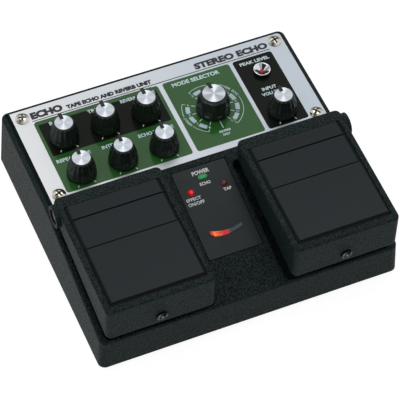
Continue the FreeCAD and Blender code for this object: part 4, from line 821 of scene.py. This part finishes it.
class ECHO_OT_printing(bpy.types.Operator):
    """Words, ticks and the selector's ring on the panel, and the words on the plate"""
    bl_idname = "echo_unit.printing"
    bl_label = "Printing"

    # each row: text, x of its middle, y of its foot, height and width, all in millimetres; the
    # words on the bare strip have a weight too
    FIELD_WORDS = [
        ("BASS", -58.2, 58.6, 2.4, 8.0), ("TREBLE", -34.1, 58.6, 2.4, 11.4),
        ("REVERB VOLUME", -10.0, 58.6, 2.4, 20.6), ("REPEAT RATE", -58.2, 32.0, 2.4, 19.6),
        ("INTENSITY", -34.1, 32.0, 2.4, 15.2), ("ECHO VOLUME", -10.0, 32.0, 2.4, 20.6),
        ("MODE SELECTOR", 25.0, 58.6, 2.8, 28.4), ("PEAK LEVEL", 60.8, 58.6, 2.3, 17.8),
        ("INPUT", 60.5, 37.5, 2.3, 8.6), ("VOLUME", 60.5, 33.8, 2.3, 11.8),
        ("REVERB", 25.4, 18.8, 1.5, 6.6), ("ONLY", 25.4, 16.3, 1.5, 4.4)]
    STRIP_WORDS = [
        ("ECHO", -60.6, 65.9, 5.0, 18.6, 0.07),
        ("TAPE ECHO AND REVERB UNIT", -24.0, 65.9, 3.0, 50.4, 0.08),
        ("STEREO ECHO", 50.0, 65.9, 4.6, 44.6, 0.06)]
    PLATE_WORDS = [
        ("POWER", 1.8, -6.2, 2.5, 9.9), ("ECHO", 1.8, -13.1, 1.9, 6.2),
        ("EFFECT", -7.8, -20.1, 1.9, 8.4), ("ON/OFF", -7.4, -23.1, 2.1, 9.4),
        ("TAP", 12.0, -20.1, 1.9, 4.6)]
    # the selector's places go round clockwise from the first one, in degrees from +X
    FIRST_PLACE = -120
    PLACE_STEP = 30

    def execute(self, context):
        sizes, colours = context.scene.echo_sizes, context.scene.echo_colours
        panel, thick = Matrix.Translation((0, 0, PANEL_TOP)), sizes.ink / MM
        stroke = sizes.stroke / MM
        words = Print(panel, thick)
        for row in self.FIELD_WORDS:
            words.word(*row)
        for name in SMALL_DIALS:
            for degrees in (-121, -59):
                words.ray(dial_axis(name) / MM, degrees, near=8.5, far=9.9, width=stroke * 1.15)
        self.selector_scale(words, stroke)
        words.done("panel_words", ink("pale_ink", colours.pale_ink))
        ring = Print(panel, thick)
        self.ring_blocks(ring, sizes.ring_low / MM, sizes.ring_high / MM)
        ring.done("selector_ring", ink("ring_ink", colours.ring_ink))
        strip = Print(panel, thick)
        for row in self.STRIP_WORDS:
            strip.word(*row)
        strip.line((-70.2, 64.75), (72.4, 64.75), width=0.5)
        strip.line((-69.0, 63.55), (-0.6, 63.55), width=0.3)
        strip.done("strip_words", ink("dark_ink", colours.dark_ink))
        plate = Print(deck_face(), thick)
        for row in self.PLATE_WORDS:
            plate.word(*row)
        plate.done("plate_words", ink("plate_ink", colours.plate_ink))
        return {"FINISHED"}

    def selector_scale(self, words, stroke):
        """Ticks, numbers, bows and bent words round the mode selector.

        The twelfth place has a long tick in place of a number."""
        middle = scale_middle()
        tick_foot, tick_end, long_tick_end = 9.8, 12.1, 15.1
        number_radius, number_tall = 13.9, 1.5
        for number in range(1, 13):
            degrees = self.FIRST_PLACE - self.PLACE_STEP * (number - 1)
            if number == 12:
                words.ray(middle, degrees, tick_foot, long_tick_end, stroke)
            else:
                words.ray(middle, degrees, tick_foot, tick_end, stroke)
                x, y = polar(middle, number_radius, degrees)
                wide = 0.7 if number == 1 else 1.0 if number < 10 else 1.5
                words.word(str(number), x, y - number_tall / 2, number_tall, wide, weight=0.0)
        words.ray(middle, self.FIRST_PLACE, near=15.5, far=17.3, width=stroke)
        bow_radius, thin = 17.1, stroke * 0.7
        for start, end in ((-120, -153), (180, 149), (118, 60), (10, -60)):
            words.bow(middle, bow_radius - thin / 2, bow_radius + thin / 2, start, end)
        for degrees in (149, 118, -60):
            words.ray(middle, degrees, near=15.4, far=bow_radius, width=thin)
        words.bent_word("REPEAT", middle, radius=16.4, start=203, end=184, tall=1.4, wide=1.0)
        words.bent_word("REVERB ECHO", middle, radius=16.3, start=54, end=14, tall=1.5, wide=1.05)

    def ring_blocks(self, ring, low, high):
        """Blocks that lead from most of the selector's places to the next one."""
        gap = 5.5
        for number in (1, 2, 3, 5, 6, 7, 8, 9, 10):
            start = self.FIRST_PLACE - self.PLACE_STEP * (number - 1)
            ring.bow(scale_middle(), low, high, start - gap, start - self.PLACE_STEP + gap)


class ECHO_OT_dials(bpy.types.Operator):
    """Fluted caps and bright discs of the eight dials, with their shafts and nuts"""
    bl_idname = "echo_unit.dials"
    bl_label = "Dials"

    def execute(self, context):
        sizes, colours = context.scene.echo_sizes, context.scene.echo_colours
        plastic = moulded("dial_plastic", colours.plastic, rough=0.28, gloss=0.22, grain=500,
                          depth=0.005 * MM)
        # level tops are duller, so that they don't mirror a lamp as one white patch
        upward = plastic.axes(plastic.spot("Normal"))[2]
        plastic.set(roughness=plastic.span(upward, 0.75, 0.95, 0.22, 0.6))
        metal = worked_metal("control_metal", (0.55, 0.54, 0.52), rough=0.35)
        small_cap = {"base": 8.25, "shoulder": 6.3, "disc": 5.0, "tall": 12.5,
                     "flutes": 16, "depth": sizes.small_flute / MM, "sharp": 1.0}
        large_cap = {"base": 9.6, "shoulder": 8.2, "disc": 6.3, "tall": 12.7,
                     "flutes": 8, "depth": sizes.scallop / MM, "sharp": 1.2}
        small_disc = spun_disc("spun_disc", spokes=0.15)
        large_disc = spun_disc("large_spun_disc", spokes=0.45)
        dials = [(name, small_cap, small_disc) for name in SMALL_DIALS]
        dials.append(("mode_selector", large_cap, large_disc))
        for name, shape, disc in dials:
            cap = piece(name + "_cap", dial_cap(name, **shape), plastic, name,
                        smooth=True)
            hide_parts(name + "_knob")
            dress(disc, name + "_disc")
            dress(metal, name + "_shaft")
        dress(metal, "pot_nuts", "pot_bodies", "mode_switch_body")
        return {"FINISHED"}


class ECHO_OT_fixings(bpy.types.Operator):
    """Screws, pins and plated nuts"""
    bl_idname = "echo_unit.fixings"
    bl_label = "Screws and pins"

    def execute(self, context):
        nickel = worked_metal("nickel", (0.40, 0.385, 0.345), rough=0.12, depth=0.005 * MM)
        black = worked_metal("blackened_steel", (0.035, 0.036, 0.038), rough=0.28)
        bright = screw_nickel("bright_nickel")
        low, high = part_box("panel_screws")
        radius, dome, rim = 3.8 * MM, 1.25 * MM, 0.45 * MM
        # the heads sit a little further back and to the right than their holes
        left_shift, right_shift = 1.1 * MM, 1.65 * MM
        places = [(x + shift, y + shift)
                  for x, shift in ((low.x + radius, left_shift), (high.x - radius, right_shift))
                  for y in (low.y + radius, high.y - radius)]
        for number, (x, y), degrees in zip(range(1, 5), places, (20, 75, 40, 10)):
            place = Matrix.Translation((x, y, PANEL_TOP))
            turn = Matrix.Rotation(math.radians(degrees), 4, "Z")
            head = piece("panel_screw_%d" % number, cross_screw(radius, dome, rim, place @ turn),
                         bright, "case", smooth=True)
            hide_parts("panel_screws")
        dress(nickel, "panel_screws", "jack_nuts")
        dress(black_button("black_button"), "left_pedal_screw", "right_pedal_screw")
        dress(black, "pivot_pins", "base_screws")
        return {"FINISHED"}


class ECHO_OT_lamps(bpy.types.Operator):
    """Lamps, their lenses and the bright dish of the peak lamp"""
    bl_idname = "echo_unit.lamps"
    bl_label = "Lamps"

    def execute(self, context):
        for name, shade, glow, strength in [
                ("power", tone(10, 84, 44), tone(18, 168, 84), 0.6),
                ("effect", tone(130, 4, 12), tone(250, 12, 34), 0.9),
                ("tap", tone(88, 10, 16), tone(120, 20, 26), 0.15),
                ("peak", tone(120, 8, 18), tone(190, 20, 34), 0.3)]:
            dress(lamp_lens(name + "_lens", shade, glow, strength), name + "_led")
        dress(level_lens(), "arc_lens")
        dress(flared_chrome("peak_dish"), "peak_led_bezel")
        return {"FINISHED"}


class ECHO_OT_sockets(bpy.types.Operator):
    """Jack sockets and the power inlet along the back"""
    bl_idname = "echo_unit.sockets"
    bl_label = "Sockets"

    def execute(self, context):
        plastic = moulded("socket_plastic", (0.010, 0.010, 0.011), rough=0.38)
        dress(plastic, "audio_jacks", "dc_inlet")
        return {"FINISHED"}


class ECHO_OT_inside(bpy.types.Operator):
    """Boards, foot switches, springs and the battery compartment"""
    bl_idname = "echo_unit.inside"
    bl_label = "Inside pieces"

    def execute(self, context):
        dress(circuit_board(), "panel_board", "jack_board")
        plain = moulded("compartment_plastic", (0.014, 0.014, 0.015), rough=0.48, gloss=0.45,
                        grain=1100, depth=0.05 * MM)
        dress(plain, "battery_box", "battery_door", "foot_switches", "left_switch_plunger",
              "right_switch_plunger")
        dress(cell_sleeve(), "batteries")
        wire = worked_metal("spring_wire", (0.52, 0.52, 0.53), rough=0.24)
        dress(wire, "left_return_spring", "right_return_spring")
        return {"FINISHED"}


class ECHO_OT_stage(bpy.types.Operator):
    """Pale floor, soft lights and the camera"""
    bl_idname = "echo_unit.stage"
    bl_label = "Stage"

    def execute(self, context):
        scene = context.scene
        scene.view_settings.view_transform = "Standard"
        self.floor()
        self.room(scene)
        self.softbox(scene, "left_softbox", Vector((-1.5, -0.35, 1.25)), side=1.3, watts=10.0)
        self.softbox(scene, "top_softbox", Vector((0.25, 0.75, 1.8)), side=1.5, watts=14.0)
        self.softbox(scene, "front_fill", Vector((0.7, -1.6, 1.1)), side=1.4, watts=2.4)
        self.camera(scene)
        return {"FINISHED"}

    def floor(self):
        """White paper where it is seen, and grey paper where it throws light on the unit."""
        bm = bmesh.new()
        bmesh.ops.create_grid(bm, x_segments=24, y_segments=24, size=4.0)
        mesh = bpy.data.meshes.new("floor")
        bm.to_mesh(mesh)
        bm.free()
        finish = Finish("floor_paper", roughness=0.9, specular_ior_level=0.1)
        cloud = finish.speckle(finish.spot(), 40)
        paper = finish.mix(cloud, (0.86, 0.86, 0.86), (0.9, 0.9, 0.9))
        seen = finish.in_view()
        finish.set(base_color=finish.mix(seen, paper, (0.24, 0.24, 0.24)),
                   emission_color=finish.mix(seen, (0, 0, 0), (1, 1, 1)), emission_strength=0.9)
        mesh.materials.append(finish.material)
        made = bpy.data.objects.new("floor", mesh)
        bpy.context.scene.collection.objects.link(made)

    def room(self, scene):
        """White walls in view, and a share of that as the light that they throw on the unit."""
        world = bpy.data.worlds.new("studio_room")
        world.use_nodes = True
        walls = Finish(world.name, world.node_tree, "Background", color=(1, 1, 1))
        ambient = 0.32
        walls.set(strength=walls.in_view() * (1 - ambient) + ambient)
        scene.world = world

    def softbox(self, scene, name, place, side, watts):
        """Square lamp that faces the unit."""
        light = bpy.data.lights.new(name, "AREA")
        light.shape = "SQUARE"
        light.size = side
        light.energy = watts
        lamp = bpy.data.objects.new(name, light)
        lamp.location = place
        lamp.rotation_euler = (-place).to_track_quat("-Z", "Y").to_euler()
        scene.collection.objects.link(lamp)

    def camera(self, scene):
        """Long lens over the front left corner, turned a little about its own line of sight."""
        azimuth, elevation, roll = [math.radians(angle) for angle in (-24.82, 52.29, 2.24)]
        aim, away = Vector((0, 0, 3.0)) * MM, 1251.47 * MM
        shift_right, shift_up = 2.87 * MM, 6.02 * MM
        focal_length, frame_width = 2262.29, 400
        lens = bpy.data.cameras.new("camera")
        lens.sensor_width = 36
        lens.lens = focal_length / frame_width * lens.sensor_width
        lens.clip_start = 0.05
        holder = bpy.data.objects.new("camera", lens)
        turn = (Matrix.Rotation(azimuth, 4, "Z") @ Matrix.Rotation(math.pi / 2 - elevation, 4, "X")
                @ Matrix.Rotation(roll, 4, "Z"))
        holder.matrix_world = (Matrix.Translation(aim) @ turn
                               @ Matrix.Translation((shift_right, shift_up, away)))
        scene.collection.objects.link(holder)
        scene.camera = holder


OPERATORS = [ECHO_OT_case, ECHO_OT_rubber, ECHO_OT_panel, ECHO_OT_printing, ECHO_OT_dials,
             ECHO_OT_fixings, ECHO_OT_lamps, ECHO_OT_sockets, ECHO_OT_inside, ECHO_OT_stage]


class ECHO_PT_unit(bpy.types.Panel):
    """Sizes, colours and steps of the echo unit"""
    bl_idname = "ECHO_PT_unit"
    bl_label = "Tape echo unit"
    bl_space_type = "VIEW_3D"
    bl_region_type = "UI"
    bl_category = "Echo unit"

    def draw(self, context):
        for group in (context.scene.echo_sizes, context.scene.echo_colours):
            box = self.layout.box()
            for name in group.__annotations__:
                box.prop(group, name)
        for operator in OPERATORS:
            self.layout.operator(operator.bl_idname)


CLASSES = [EchoSizes, EchoColours, *OPERATORS, ECHO_PT_unit]


def register():
    for kind in CLASSES:
        bpy.utils.register_class(kind)
    bpy.types.Scene.echo_sizes = bpy.props.PointerProperty(type=EchoSizes)
    bpy.types.Scene.echo_colours = bpy.props.PointerProperty(type=EchoColours)


def unregister():
    del bpy.types.Scene.echo_sizes
    del bpy.types.Scene.echo_colours
    for kind in reversed(CLASSES):
        bpy.utils.unregister_class(kind)


def main():
    register()
    for operator in OPERATORS:
        group, name = operator.bl_idname.split(".")
        getattr(getattr(bpy.ops, group), name)()


if __name__ == "__main__":
    main()
